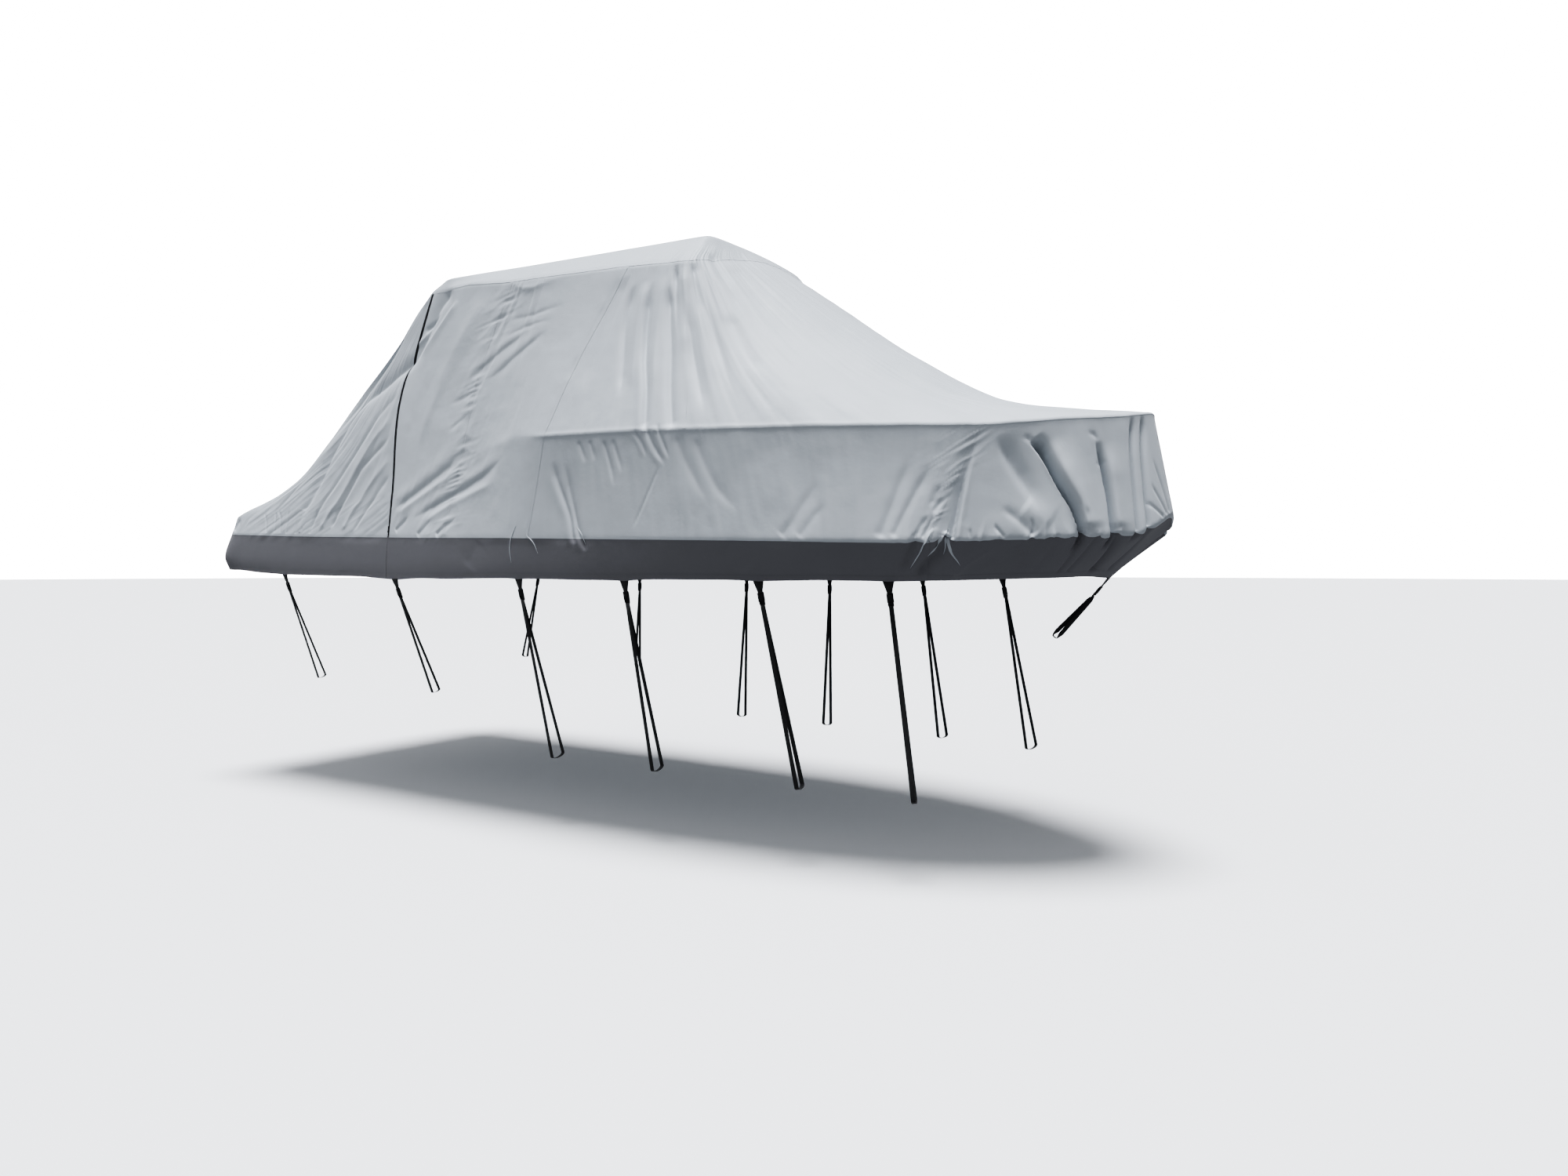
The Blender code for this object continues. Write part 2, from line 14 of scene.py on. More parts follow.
import bpy
import numpy as np
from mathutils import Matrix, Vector


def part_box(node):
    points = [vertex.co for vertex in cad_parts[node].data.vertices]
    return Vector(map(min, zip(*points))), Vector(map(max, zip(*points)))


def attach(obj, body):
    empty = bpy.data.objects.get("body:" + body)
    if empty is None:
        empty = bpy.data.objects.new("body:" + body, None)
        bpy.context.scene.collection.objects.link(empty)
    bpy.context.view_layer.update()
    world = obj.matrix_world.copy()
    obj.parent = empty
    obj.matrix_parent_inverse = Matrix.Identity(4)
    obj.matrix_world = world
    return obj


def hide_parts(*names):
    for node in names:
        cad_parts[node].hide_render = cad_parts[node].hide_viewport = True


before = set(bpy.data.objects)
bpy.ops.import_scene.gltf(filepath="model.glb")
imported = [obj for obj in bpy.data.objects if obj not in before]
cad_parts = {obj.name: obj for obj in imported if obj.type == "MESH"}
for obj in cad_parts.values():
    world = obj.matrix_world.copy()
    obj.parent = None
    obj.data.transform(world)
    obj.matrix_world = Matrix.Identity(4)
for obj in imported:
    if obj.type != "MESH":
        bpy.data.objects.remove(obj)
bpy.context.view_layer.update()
SIDES = {-1: "starboard", 1: "port"}

# %% [markdown]
# ## The camera
#
# The picture was taken from standing height, level, a little ahead of the middle and to starboard. A
# level camera keeps the upright lines upright. The small shift puts the horizon where the picture has it.

# %% Camera
EYE = (4.74, -5.66, -2.03)
LOOK = (-0.5299, 0.8480, 0.0)
FRAME_WIDTH, FRAME_HEIGHT = 2000, 1500
FOCAL_LENGTH_PX, HORIZON_PX = 1300, 722
SENSOR_MM = 36.0


def add_object(name, data):
    """A new object in the scene, made of a camera, a lamp or a mesh."""
    made = bpy.data.objects.new(name, data)
    bpy.context.scene.collection.objects.link(made)
    return made


lens = bpy.data.cameras.new("camera")
lens.sensor_width = SENSOR_MM
lens.lens = SENSOR_MM * FOCAL_LENGTH_PX / FRAME_WIDTH
lens.shift_y = (HORIZON_PX - FRAME_HEIGHT / 2) / FRAME_WIDTH
camera = add_object("camera", lens)
camera.location = EYE
camera.rotation_euler = Vector(LOOK).to_track_quat("-Z", "Y").to_euler()
bpy.context.scene.camera = camera
print("lens, mm:", round(lens.lens, 1), "shift:", round(lens.shift_y, 4))

# %% [markdown]
# ## Small tools for materials
#
# Colours are written as sRGB hex values, as a colour picker shows them. A shader works with linear light,
# so one function turns them. One more function adds a node with its settings and links, and the materials
# below are then short lists of such nodes. An input without a name is given by its number, as in i0.


# %% Colours and nodes
def linear(hex_colour):
    """A linear RGBA colour from sRGB hex."""
    values = [int(hex_colour[k : k + 2], 16) / 255 for k in (1, 3, 5)]
    return [v / 12.92 if v <= 0.04045 else ((v + 0.055) / 1.055) ** 2.4 for v in values] + [1.0]


def plug(tree, node, **inputs):
    """Sets a node's inputs: a value is set, and a socket, or a node's first output, is linked."""
    for name, value in inputs.items():
        number = name[1:] if name[0] == "i" else ""
        socket = node.inputs[int(number) if number.isdigit() else name.replace("_", " ")]
        if isinstance(value, bpy.types.Node):
            value = value.outputs[0]
        if isinstance(value, bpy.types.NodeSocket):
            tree.links.new(value, socket)
        else:
            socket.default_value = value


def add_node(tree, kind, settings=None, **inputs):
    """Adds a shader node with its settings and its inputs, which are named as the node shows them."""
    node = tree.nodes.new(f"ShaderNode{kind}")
    for name, value in (settings or {}).items():
        setattr(node, name, value)
    plug(tree, node, **inputs)
    return node


def new_material(name, roughness, ior, **inputs):
    """A material with a Principled shader, whose own sockets hold what is the same all over."""
    made = bpy.data.materials.new(name)
    made.use_nodes = True
    shader = made.node_tree.nodes["Principled BSDF"]
    plug(made.node_tree, shader, Roughness=roughness, IOR=ior, **inputs)
    return made, made.node_tree, shader


MM = 0.001
print("mid grey in linear light:", [round(v, 3) for v in linear("#808080")])

# %% [markdown]
# ## The cut of the cover
#
# The cover is a loft through loops that run round it: the roof's edge (crown), the shoulder, the middle of
# the sides, the edge line, the seam of the dark band and the hem. Each row of the table is one section line
# down the cover, in millimetres. These are the sizes of the solids, repeated here, because the fine cloth
# has to lie on them. Only spacing is new: it says how far apart the fine mesh's columns are, up to the next
# row.

# %% Section lines
Station = namedtuple("Station", "name cuts spacing bulge crown shoulder mid edge seam hem")
STATIONS = [
    Station("stern middle", 3, 24, 60, (-1000, 0, -24), (-1100, 0, -75), (-2370, 0, -1330),
            (-3100, 0, -1650), (-3120, 0, -1775), (-3150, 0, -2060)),
    Station("stern quarter", 3, 22, 60, (-1000, 500, -26), (-1090, 520, -80), (-2370, 620, -1330),
            (-3090, 700, -1650), (-3105, 720, -1775), (-3140, 730, -2060)),
    Station("stern corner aft", 2, 14, 60, (-995, 820, -28), (-1120, 850, -110), (-2360, 1020, -1325),
            (-3085, 1120, -1650), (-3100, 1150, -1775), (-3125, 1165, -2055)),
    Station("stern corner", 2, 14, 45, (-990, 900, -30), (-1130, 920, -122), (-2330, 1105, -1312),
            (-3045, 1200, -1650), (-3060, 1235, -1775), (-3090, 1240, -2056)),
    Station("stern corner side", 4, 14, 15, (-975, 903, -30), (-1124, 926, -124), (-2150, 1125, -1270),
            (-2830, 1218, -1645), (-2880, 1252, -1780), (-2900, 1264, -2072)),
    Station("quarter", 5, 12, 6, (-955, 904, -30), (-1116, 931, -127), (-1720, 1125, -1120),
            (-2080, 1220, -1600), (-2130, 1257, -1803), (-2130, 1268, -2098)),
    Station("zip", 2, 10, 4, (-930, 905, -30), (-1105, 936, -130), (-1255, 1095, -900),
            (-1200, 1200, -1550), (-1170, 1250, -1824), (-1170, 1262, -2120)),
    Station("roof aft", 2, 10, 4, (-600, 841, -19), (-700, 955, -122), (-900, 1082, -850),
            (-900, 1185, -1450), (-930, 1250, -1830), (-930, 1259, -2121)),
    Station("puckered seam", 3, 10, 4, (-250, 775, -8), (-290, 955, -166), (-500, 1065, -800),
            (-550, 1160, -1350), (-626, 1250, -1836), (-626, 1255, -2122)),
    Station("edge end", 4, 10, 4, (50, 717, 5), (0, 945, -176), (-15, 1065, -724),
            (-18, 1200, -1235), (-20, 1250, -1848), (-20, 1245, -2110)),
    Station("slanting seam", 4, 11, 4, (800, 573, 33), (640, 885, -193), (417, 1065, -728),
            (260, 1231, -1245), (147, 1249, -1852), (147, 1239, -2112)),
    Station("roof fore", 5, 11, 4, (900, 553, 37), (870, 854, -202), (824, 1031, -743),
            (776, 1226, -1257), (720, 1242, -1865), (720, 1208, -2117)),
    Station("roof corner", 4, 11, 4, (990, 536, 40), (1050, 830, -210), (1179, 990, -757),
            (1294, 1187, -1272), (1300, 1215, -1878), (1300, 1150, -2112)),
    Station("bow shoulder", 3, 11, 4, (1000, 450, 42), (1100, 700, -180), (1514, 891, -805),
            (1932, 1077, -1287), (1950, 1125, -1893), (1930, 1010, -2114)),
    Station("flare", 4, 10, 4, (1005, 350, 43), (1120, 520, -140), (1858, 733, -883),
            (2463, 922, -1299), (2320, 1034, -1902), (2250, 903, -2113)),
    Station("dart seam", 6, 8, 4, (1005, 250, 44), (1125, 360, -100), (2204, 557, -966),
            (2856, 762, -1306), (2635, 929, -1901), (2560, 774, -2110)),
    Station("bow quarter", 4, 8, 4, (1005, 160, 45), (1130, 220, -75), (2450, 360, -1020),
            (3186, 520, -1276), (3270, 560, -1880), (3070, 440, -2096)),
    Station("nose side", 3, 8, 4, (1005, 80, 45), (1130, 110, -60), (2580, 180, -1035),
            (3430, 270, -1247), (3530, 290, -1862), (3230, 230, -2088)),
    Station("nose", 0, 0, 4, (1005, 0, 45), (1130, 0, -55), (2620, 0, -1030),
            (3530, 0, -1212), (3632, 0, -1760), (3295, 0, -2096)),
]
LOOPS = ("crown", "shoulder", "mid", "edge", "seam", "hem")
STRAIGHT_LOOPS = ("crown", "shoulder")
STATION_NUMBER = {station.name: number for number, station in enumerate(STATIONS)}
NOSE = len(STATIONS) - 1
MIRROR = np.array([1.0, -1.0, 1.0])
print("section lines on a half:", len(STATIONS))

# %% [markdown]
# A loop between two section lines is a cubic whose slopes come from the neighbours, the same one that
# shapes the solids. It is worked out for a whole array of station numbers at once, which NumPy does in a
# moment.


# %% Loops
def smooth_between(before, start, end, after, t):
    """Points on the cubic from start to end whose slopes come from the points on either side."""
    span = np.linalg.norm(end - start, axis=-1, keepdims=True)
    room_in = np.linalg.norm(start - before, axis=-1, keepdims=True)
    room_out = np.linalg.norm(after - end, axis=-1, keepdims=True)
    slope_in = (end - before) * span / np.maximum(span + room_in, 1e-9)
    slope_out = (after - start) * span / np.maximum(span + room_out, 1e-9)
    return (
        (2 * t**3 - 3 * t**2 + 1) * start
        + (t**3 - 2 * t**2 + t) * slope_in
        + (3 * t**2 - 2 * t**3) * end
        + (t**3 - t**2) * slope_out
    )


def on_loop(loop, u):
    """A loop's points at an array of station numbers, on the half with y positive."""
    table = np.array([getattr(station, loop) for station in STATIONS]) * MM
    i = np.minimum(u.astype(int), NOSE - 1)
    t = (u - i)[:, None]
    if loop in STRAIGHT_LOOPS:
        return table[i] + t * (table[i + 1] - table[i])
    before = np.where((i == 0)[:, None], table[1] * MIRROR, table[np.maximum(i - 1, 0)])
    after = np.where((i == NOSE - 1)[:, None], table[NOSE - 1] * MIRROR, table[np.minimum(i + 2, NOSE)])
    return smooth_between(before, table[i], table[i + 1], after, t)


steps = np.diff(on_loop("seam", np.linspace(0, NOSE, 400)), axis=0)
print("seam loop of a half, metres:", round(float(np.linalg.norm(steps, axis=1).sum()), 2))

# %% [markdown]
# ## Tie-down straps
#
# Each strap is one length of 25 mm webbing. It leaves its cam buckle, goes down, round, and back up to the
# buckle, pulled taut. A rope would be a curve with a round bevel. Webbing is flat, so a flat section with
# rounded edges is swept along the same route.

# %% Where the straps hang
Strap = namedtuple("Strap", "name hem_x foot_x foot_half_breadth foot_z depth")
STRAPS = [
    Strap("1", -2.315, -2.240, 1.050, -2.870, 0.06),
    Strap("2", -1.078, -0.925, 1.080, -2.890, 0.06),
    Strap("3", 0.068, 0.174, 1.066, -3.230, 0.10),
    Strap("4", 0.871, 0.961, 1.054, -3.230, 0.10),
    Strap("5", 1.705, 1.916, 1.015, -3.230, 0.10),
    Strap("6", 2.380, 2.573, 0.963, -3.230, 0.10),
]
BOW_STRAP = Strap("bow", 3.295, 3.010, 0.000, -2.440, 0.03)
CLOTH = 0.002
TAB_TOP, TAB_FOOT, TAB_LENGTH = 0.060, 0.028, 0.060
BUCKLE_LENGTH = 0.066
WEBBING_WIDTH, WEBBING_THICK = 0.025, 0.0016
STRAND_SPREAD = 0.005
BUCKLE_GAP, WEBBING_GAP = 0.0003, 0.0006
STRAND_STEPS, TURN_STEPS, TURN_FLATTEN = 10, 16, 0.35


def unit(vectors):
    """The same directions with a length of 1."""
    return vectors / np.maximum(np.linalg.norm(vectors, axis=-1, keepdims=True), 1e-12)


def hem_point(side, x):
    """The hem's point at x on one side and its direction there, on the solids' own columns."""
    numbers = [i + k / station.cuts for i, station in enumerate(STATIONS[:-1]) for k in range(station.cuts)]
    hem = on_loop("hem", np.array(numbers)) * (1, side, 1)
    first = STATION_NUMBER["stern corner side"]
    start = max(k for k, number in enumerate(numbers) if number >= first and hem[k, 0] <= x)
    run = hem[start + 1] - hem[start]
    return hem[start] + (x - hem[start, 0]) / run[0] * run, unit(run)


Hang = namedtuple("Hang", "label top hem_run along outward down route")


def hang_strap(label, strap, side, top, hem_run):
    """A strap's directions, and its middle line: down the outer strand, round the foot, up the inner one."""
    foot = np.array([strap.foot_x, side * strap.foot_half_breadth, strap.foot_z])
    down = unit(foot - top)
    along = unit(hem_run - (hem_run @ down) * down)
    outward = np.cross(down, along)
    start = top + down * (TAB_LENGTH + BUCKLE_GAP + BUCKLE_LENGTH + WEBBING_GAP)
    radius = strap.depth / 2
    centre = foot - outward * radius + np.array([0.0, 0.0, TURN_FLATTEN * radius])
    angles = np.linspace(0, math.pi, TURN_STEPS + 1)[:, None]
    turn = centre + radius * (np.cos(angles) * outward + TURN_FLATTEN * np.sin(angles) * down)
    t = np.linspace(0, 1, STRAND_STEPS, endpoint=False)[:, None]
    outer_top, inner_top = start + outward * STRAND_SPREAD / 2, start - outward * STRAND_SPREAD / 2
    outer = outer_top + (turn[0] - outer_top) * t
    inner = inner_top + (turn[-1] - inner_top) * t[::-1]
    return Hang(label, top, hem_run, along, outward, down, np.concatenate([outer, turn, inner]))


hangs = []
for side, side_name in SIDES.items():
    for strap in STRAPS:
        point, run = hem_point(side, strap.hem_x)
        point = point - np.array([0.0, side * CLOTH / 2, 0.0])
        hangs.append(hang_strap(f"{side_name}_{strap.name}", strap, side, point, -side * run))
nose_point = np.array(STATIONS[NOSE].hem) * MM - np.array([CLOTH / 2, 0.0, 0.0])
hangs.append(hang_strap("bow", BOW_STRAP, 0, nose_point, np.array([0.0, 1.0, 0.0])))
for hang in hangs:
    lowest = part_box(f"strap_{hang.label}")[0].z
    print(hang.label, "foot off the solid by mm:", round((hang.route[:, 2].min() - lowest) * 1000, 1))

# %% [markdown]
# Webbing is woven from thick polypropylene yarn, black all through with a faint sheen, and its face shows a
# fine herringbone of slanting ribs. The ribs are a wave across the strap, turned by a second wave along it.
# Both use the strap's own length and width in metres, which the mesh keeps as its UV map.

# %% Black polypropylene webbing, woven
RIB_MM = 2.2  # one rib of a 25 mm strap's herringbone
webbing, tree, shader = new_material("polypropylene_webbing_woven", 0.62, 1.49,
                                     Sheen_Weight=0.25, Sheen_Roughness=0.45)
place = add_node(tree, "TexCoord").outputs["UV"]
split_uv = add_node(tree, "SeparateXYZ", Vector=place)
zigzag = add_node(tree, "Math", {"operation": "PINGPONG"}, i0=split_uv.outputs["Y"], i1=WEBBING_WIDTH / 8)
slanted = add_node(tree, "Math", {"operation": "ADD"}, i0=split_uv.outputs["X"], i1=zigzag)
ribs = add_node(tree, "Math", {"operation": "MULTIPLY"}, i0=slanted, i1=2 * math.pi / (RIB_MM * MM))
wave = add_node(tree, "Math", {"operation": "SINE"}, i0=ribs)
tone = add_node(tree, "MapRange", Value=wave, From_Min=-1.0, From_Max=1.0)
dye = add_node(tree, "Mix", {"data_type": "RGBA"}, i0=tone, i6=linear("#121214"), i7=linear("#2A2A2D"))
weave = add_node(tree, "Bump", Strength=0.7, Distance=0.0005, Height=tone)
plug(tree, shader, Base_Color=dye.outputs[2], Normal=weave)
print("ribs across 25 mm:", round(25 / RIB_MM))

# %% [markdown]
# Most pieces here are worked out as arrays of points and then given to Blender in one call, which is far
# quicker than building them face by face. A flat strip is its cross-section carried along a route: a ring
# of points at each step, with faces between one ring and the next.


# %% Meshes from arrays
def new_mesh(name, vertices, faces):
    """A mesh from vertices and faces."""
    made = bpy.data.meshes.new(name)
    made.from_pydata(np.asarray(vertices).tolist(), [], faces)
    return made


def add_piece(name, vertices, faces, material, slot, uv=None):
    """A mesh piece on the one body, from vertices, faces and, if given, a UV pair for each vertex."""
    mesh = new_mesh(name, vertices, faces)
    if uv is not None:
        corner = np.zeros(len(mesh.loops), dtype=np.int32)
        mesh.loops.foreach_get("vertex_index", corner)
        layer = mesh.uv_layers.new(name="metres")
        layer.data.foreach_set("uv", np.asarray(uv, dtype=np.float32)[corner].ravel())
    mesh.materials.append(material)
    mesh.shade_smooth()
    piece = add_object(name, mesh)
    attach(piece, "root")
    return piece


def flat_section(width, thick):
    """Points round a flat strip's cross-section, with its two long edges rounded: (across, off) pairs."""
    w, h = width / 2, thick / 2
    return [(-w + h, h), (w - h, h), (w - 0.3 * h, 0.7 * h), (w, 0), (w - 0.3 * h, -0.7 * h),
            (w - h, -h), (-w + h, -h), (-w + 0.3 * h, -0.7 * h), (-w, 0), (-w + 0.3 * h, 0.7 * h)]


def soft_step(share):
    """0 to 1 with a soft start and end."""
    share = np.clip(share, 0, 1)
    return share * share * (3 - 2 * share)


def run_length(route):
    """How far along its own line each point of a route is."""
    return np.concatenate([[0], np.cumsum(np.linalg.norm(np.diff(route, axis=0), axis=1))])


def sweep(route, across, widths, thick):
    """A flat tube with closed ends along a route, with a width at each point: vertices, faces and UVs."""
    across = np.broadcast_to(across, route.shape)
    off = unit(np.cross(np.gradient(route, axis=0), across))
    shapes = np.array([flat_section(width, thick) for width in np.broadcast_to(widths, len(route))])
    rings = route[:, None] + shapes[..., :1] * across[:, None] + shapes[..., 1:] * off[:, None]
    uv = np.stack(np.broadcast_arrays(run_length(route)[:, None], shapes[..., 0]), axis=-1)
    n = shapes.shape[1]
    faces = [
        [i * n + j, (i + 1) * n + j, (i + 1) * n + (j + 1) % n, i * n + (j + 1) % n]
        for i in range(len(route) - 1) for j in range(n)
    ]
    faces += [list(range(n)), [(len(route) - 1) * n + j for j in reversed(range(n))]]
    return rings.reshape(-1, 3), faces, uv.reshape(-1, 2)


print("points round a flat section:", len(flat_section(WEBBING_WIDTH, WEBBING_THICK)))

# %% [markdown]
# Webbing can turn about its own length between two holds. The side straps hang flat. The one at the bow is
# turned, with its face towards the eye, and it eases back flat at the buckle and where it goes round.

# %% The straps
TWIST_EASE = 0.035  # metres in which the webbing turns
TWIST = {"bow": 58}  # degrees
MID_TURN = STRAND_STEPS + TURN_STEPS / 2
for hang in hangs:
    length_at = run_length(hang.route)
    steps_off = np.abs(np.arange(len(hang.route)) - MID_TURN) - TURN_STEPS / 2
    from_turn = np.maximum(steps_off, 0) * length_at[1]
    from_end = np.minimum(length_at, length_at[-1] - length_at)
    ease = soft_step(from_end / TWIST_EASE) * soft_step(from_turn / TWIST_EASE)
    angle = math.radians(TWIST.get(hang.label, 0)) * ease[:, None]
    across = np.cos(angle) * hang.along + np.sin(angle) * hang.outward
    strip, faces, uv = sweep(hang.route, across, WEBBING_WIDTH, WEBBING_THICK)
    piece = add_piece(f"webbing_{hang.label}", strip, faces, webbing, "webbing", uv)
    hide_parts(f"strap_{hang.label}")

# %% [markdown]
# ## Tabs
#
# A tab is a doubled piece of stiff black webbing, wide where it is sewn behind the hem and narrow where it
# loops round the buckle's bar. It is the same sweep as the straps, with a width for each point: down the
# front, round the bar and up the back. A box of stitches with a cross in it holds the two layers together.
#
# The thread is twisted polyester, a little paler than the webbing. Its fuzz breaks up the light, so a row
# of stitches reads as small soft beads.

# %% Thread and stitches
STITCH_LONG, STITCH_WIDE, STITCH_HIGH = 0.0032, 0.0010, 0.0006


def speckled(name, roughness, ior, scale, detail, dark, light, **sockets):
    """A material whose colour wanders between two, with scale noise cells in a metre."""
    made, tree, shader = new_material(name, roughness, ior, **sockets)
    noise = add_node(tree, "TexNoise", Scale=scale, Detail=detail)
    colour = add_node(tree, "Mix", {"data_type": "RGBA"}, i0=noise, i6=linear(dark), i7=linear(light))
    plug(tree, shader, Base_Color=colour.outputs[2])
    return made


def line_at(at, length_at, values):
    """Values of a line of points at distances along it."""
    return np.stack([np.interp(at, length_at, one) for one in values.T], axis=1)


def stitches(points, normals, pitch, scale=1.0):
    """Beads of thread every pitch along a line of points: vertices and faces."""
    along = run_length(points)
    at = np.arange(pitch / 2, along[-1], pitch)
    spots = line_at(at, along, points)
    ups = line_at(at, along, normals)
    ahead = unit(line_at(at + pitch / 4, along, points) - spots)
    aside = np.cross(ups, ahead) * STITCH_WIDE / 2 * scale
    ahead = ahead * STITCH_LONG / 2 * scale
    beads = np.stack([spots - ahead, spots + aside, spots + ahead, spots - aside,
                      spots + ups * STITCH_HIGH * scale], axis=1)
    flanks = ((1, 0), (2, 1), (3, 2), (0, 3))
    faces = [[5 * k + a, 5 * k + b, 5 * k + 4] for k in range(len(at)) for a, b in flanks]
    return beads.reshape(-1, 3), faces


def joined(parts):
    """Vertices and faces of several parts as one."""
    starts = accumulate((len(points) for points, _ in parts), initial=0)
    faces = [[start + v for v in face] for start, (_, part) in zip(starts, parts) for face in part]
    return np.concatenate([points for points, _ in parts]), faces


thread = speckled("polyester_thread_twisted", 0.55, 1.5, 900.0, 2.0, "#3A3A3E", "#6A6A6F", Sheen_Weight=0.2)
print("a stitch, mm:", STITCH_LONG * 1000, "by", STITCH_WIDE * 1000)

# %% Tabs
BEHIND_HEM, BAR_AT, BAR_ROUND, LAYER = 0.008, 0.0035, 0.0030, 0.0013
LAYER_OFF, SEWN_BACK, SEWN_TO = 0.0008, 0.0014, 0.002  # the sewn top stands back, behind the hem
TAB_STEPS, TAB_EASE, ABOVE_TAB = 9, 0.002, 0.0009
BOX = ((-0.017, 0.008), (0.017, 0.008), (0.012, 0.036), (-0.012, 0.036))  # across and down, in metres
BOX_SEAMS = ((0, 1), (1, 2), (2, 3), (3, 0), (0, 2), (1, 3))
STITCH_PITCH = 0.0040


def tab_route():
    """(down, out) pairs of a tab's middle line: down the front, round the bar and up the back."""
    downs = np.linspace(-BEHIND_HEM, TAB_LENGTH - BEHIND_HEM, TAB_STEPS)
    back = SEWN_BACK * (downs < SEWN_TO)
    a = np.linspace(0, math.pi, TAB_STEPS)
    front_layer = np.stack([downs, LAYER_OFF - back], axis=1)
    turn = np.stack([TAB_LENGTH + BAR_AT + BAR_ROUND * np.sin(a), BAR_ROUND * np.cos(a)], axis=1)
    back_layer = np.stack([downs, -LAYER_OFF - back], axis=1)
    return np.concatenate([front_layer, turn, back_layer[::-1]])


route = tab_route()
share = np.clip(route[:, :1] / TAB_LENGTH, 0, 1)
widths = TAB_TOP + share[:, 0] * (TAB_FOOT - TAB_EASE - TAB_TOP)
for hang in hangs:
    across = unit(hang.hem_run + share * (hang.along - hang.hem_run))
    line = hang.top + route[:, :1] * hang.down + route[:, 1:] * hang.outward
    points, faces, uv = sweep(line, across, widths, LAYER)
    piece = add_piece(f"webbing_tab_{hang.label}", points, faces, webbing, "webbing", uv)
    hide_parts(f"tab_{hang.label}")
    face = hang.top + (LAYER / 2 + ABOVE_TAB) * hang.outward
    corners = [face + x * hang.along + z * hang.down for x, z in BOX]
    seams = [np.array([corners[a], corners[b]]) for a, b in BOX_SEAMS]
    parts = [stitches(seam, np.array([hang.outward] * 2), STITCH_PITCH) for seam in seams]
    add_piece(f"tab_stitches_{hang.label}", *joined(parts), thread, "webbing")
print("tabs:", len(hangs), "stitches a tab:", sum(len(points) for points, _ in parts) // 5)

# %% [markdown]
# ## Cam buckles
#
# The buckle is moulded acetal, a hard black plastic with soft moulded edges and a low sheen: two cheeks
# with a bar for the tab, a plate below, and a ribbed lever whose cam bites on the webbing. It is modelled
# once, in millimetres, from blocks whose edges a Bevel modifier rounds, and set in place on every strap.

# %% Black acetal, moulded
GRAINS, SCUFFS = 700.0, 60.0  # in a metre: mould skin of about 1.4 mm, and scuffs of about 17 mm
acetal, tree, shader = new_material("acetal_moulded_black", 0.38, 1.48, Specular_IOR_Level=0.5)
grain = add_node(tree, "TexNoise", Scale=GRAINS, Detail=3.0)
scuffs = add_node(tree, "TexNoise", Scale=SCUFFS, Detail=4.0)
black = add_node(tree, "Mix", {"data_type": "RGBA"}, i0=scuffs, i6=linear("#141416"), i7=linear("#26262A"))
polish = add_node(tree, "MapRange", Value=scuffs, To_Min=0.30, To_Max=0.48)
skin = add_node(tree, "Bump", Strength=0.35, Distance=0.0002, Height=grain)
plug(tree, shader, Base_Color=black.outputs[2], Roughness=polish, Normal=skin)
print("acetal grain, mm:", round(1000 / GRAINS, 1))

# %% Buckles
MOULD_ROUND, SHARP_ANGLE = 0.0007, math.radians(50)
BUCKLE_BLOCKS = [  # in millimetres: across, out and down, each from and to
    (-18.0, -14.6, -4.5, 4.5, 0.0, 50.0), (14.6, 18.0, -4.5, 4.5, 0.0, 50.0),  # cheeks
    (-15.0, 15.0, -1.7, 1.7, 1.8, 5.2),  # the bar in the tab's loop
    (-15.0, 15.0, -6.6, -4.2, 5.8, 71.0),  # plate
    (-15.0, 15.0, -1.6, 1.6, 11.0, 14.2),  # the lever's pivot
    (-12.4, 12.4, 1.4, 4.8, 11.0, 43.0),  # lever
    (-13.4, 13.4, 0.4, 5.6, 40.5, 44.5),  # the lever's lip
    (-15.6, -12.4, -6.4, 3.4, 48.0, 65.6), (12.4, 15.6, -6.4, 3.4, 48.0, 65.6),  # the foot's sides
    (-15.0, 15.0, -5.6, -2.6, 60.0, 64.4), (-15.0, 15.0, 0.6, 3.0, 58.0, 61.0),  # the foot's bars
] + [(-11.2, 11.2, 4.4, 6.4, z, z + 1.7) for z in (15.0, 19.0, 23.0, 27.0, 31.0, 35.0)]  # ribs


def rounded_blocks(blocks, edge_round):
    """Points and faces of blocks with rounded edges, in their own coordinates: across, out and down."""
    sides = [[0, 1, 3, 2], [4, 6, 7, 5], [0, 4, 5, 1], [2, 3, 7, 6], [0, 2, 6, 4], [1, 5, 7, 3]]
    parts = []
    for x0, x1, y0, y1, z0, z1 in blocks:
        corners = [(x, y, z) for x in (x0, x1) for y in (y0, y1) for z in (z0, z1)]
        parts.append((np.array(corners) * MM, sides))
    shape = add_object("blocks", new_mesh("blocks", *joined(parts)))
    bevel = shape.modifiers.new("rounded edges", "BEVEL")
    bevel.width = edge_round
    bevel.segments = 2
    made = bpy.data.meshes.new_from_object(shape.evaluated_get(bpy.context.evaluated_depsgraph_get()))
    bpy.data.objects.remove(shape)
    return np.array([vertex.co for vertex in made.vertices]), [list(face.vertices) for face in made.polygons]


buckle_points, buckle_faces = rounded_blocks(BUCKLE_BLOCKS, MOULD_ROUND)
for hang in hangs:
    head = hang.top + (TAB_LENGTH + BUCKLE_GAP) * hang.down
    turn = np.array([hang.along, hang.outward, hang.down])
    points = head + buckle_points @ turn
    piece = add_piece(f"cam_buckle_{hang.label}", points, buckle_faces, acetal, "buckle_plastic")
    piece.data.set_sharp_from_angle(angle=SHARP_ANGLE)
    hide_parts(f"buckle_{hang.label}")
print("faces of a buckle:", len(buckle_faces))

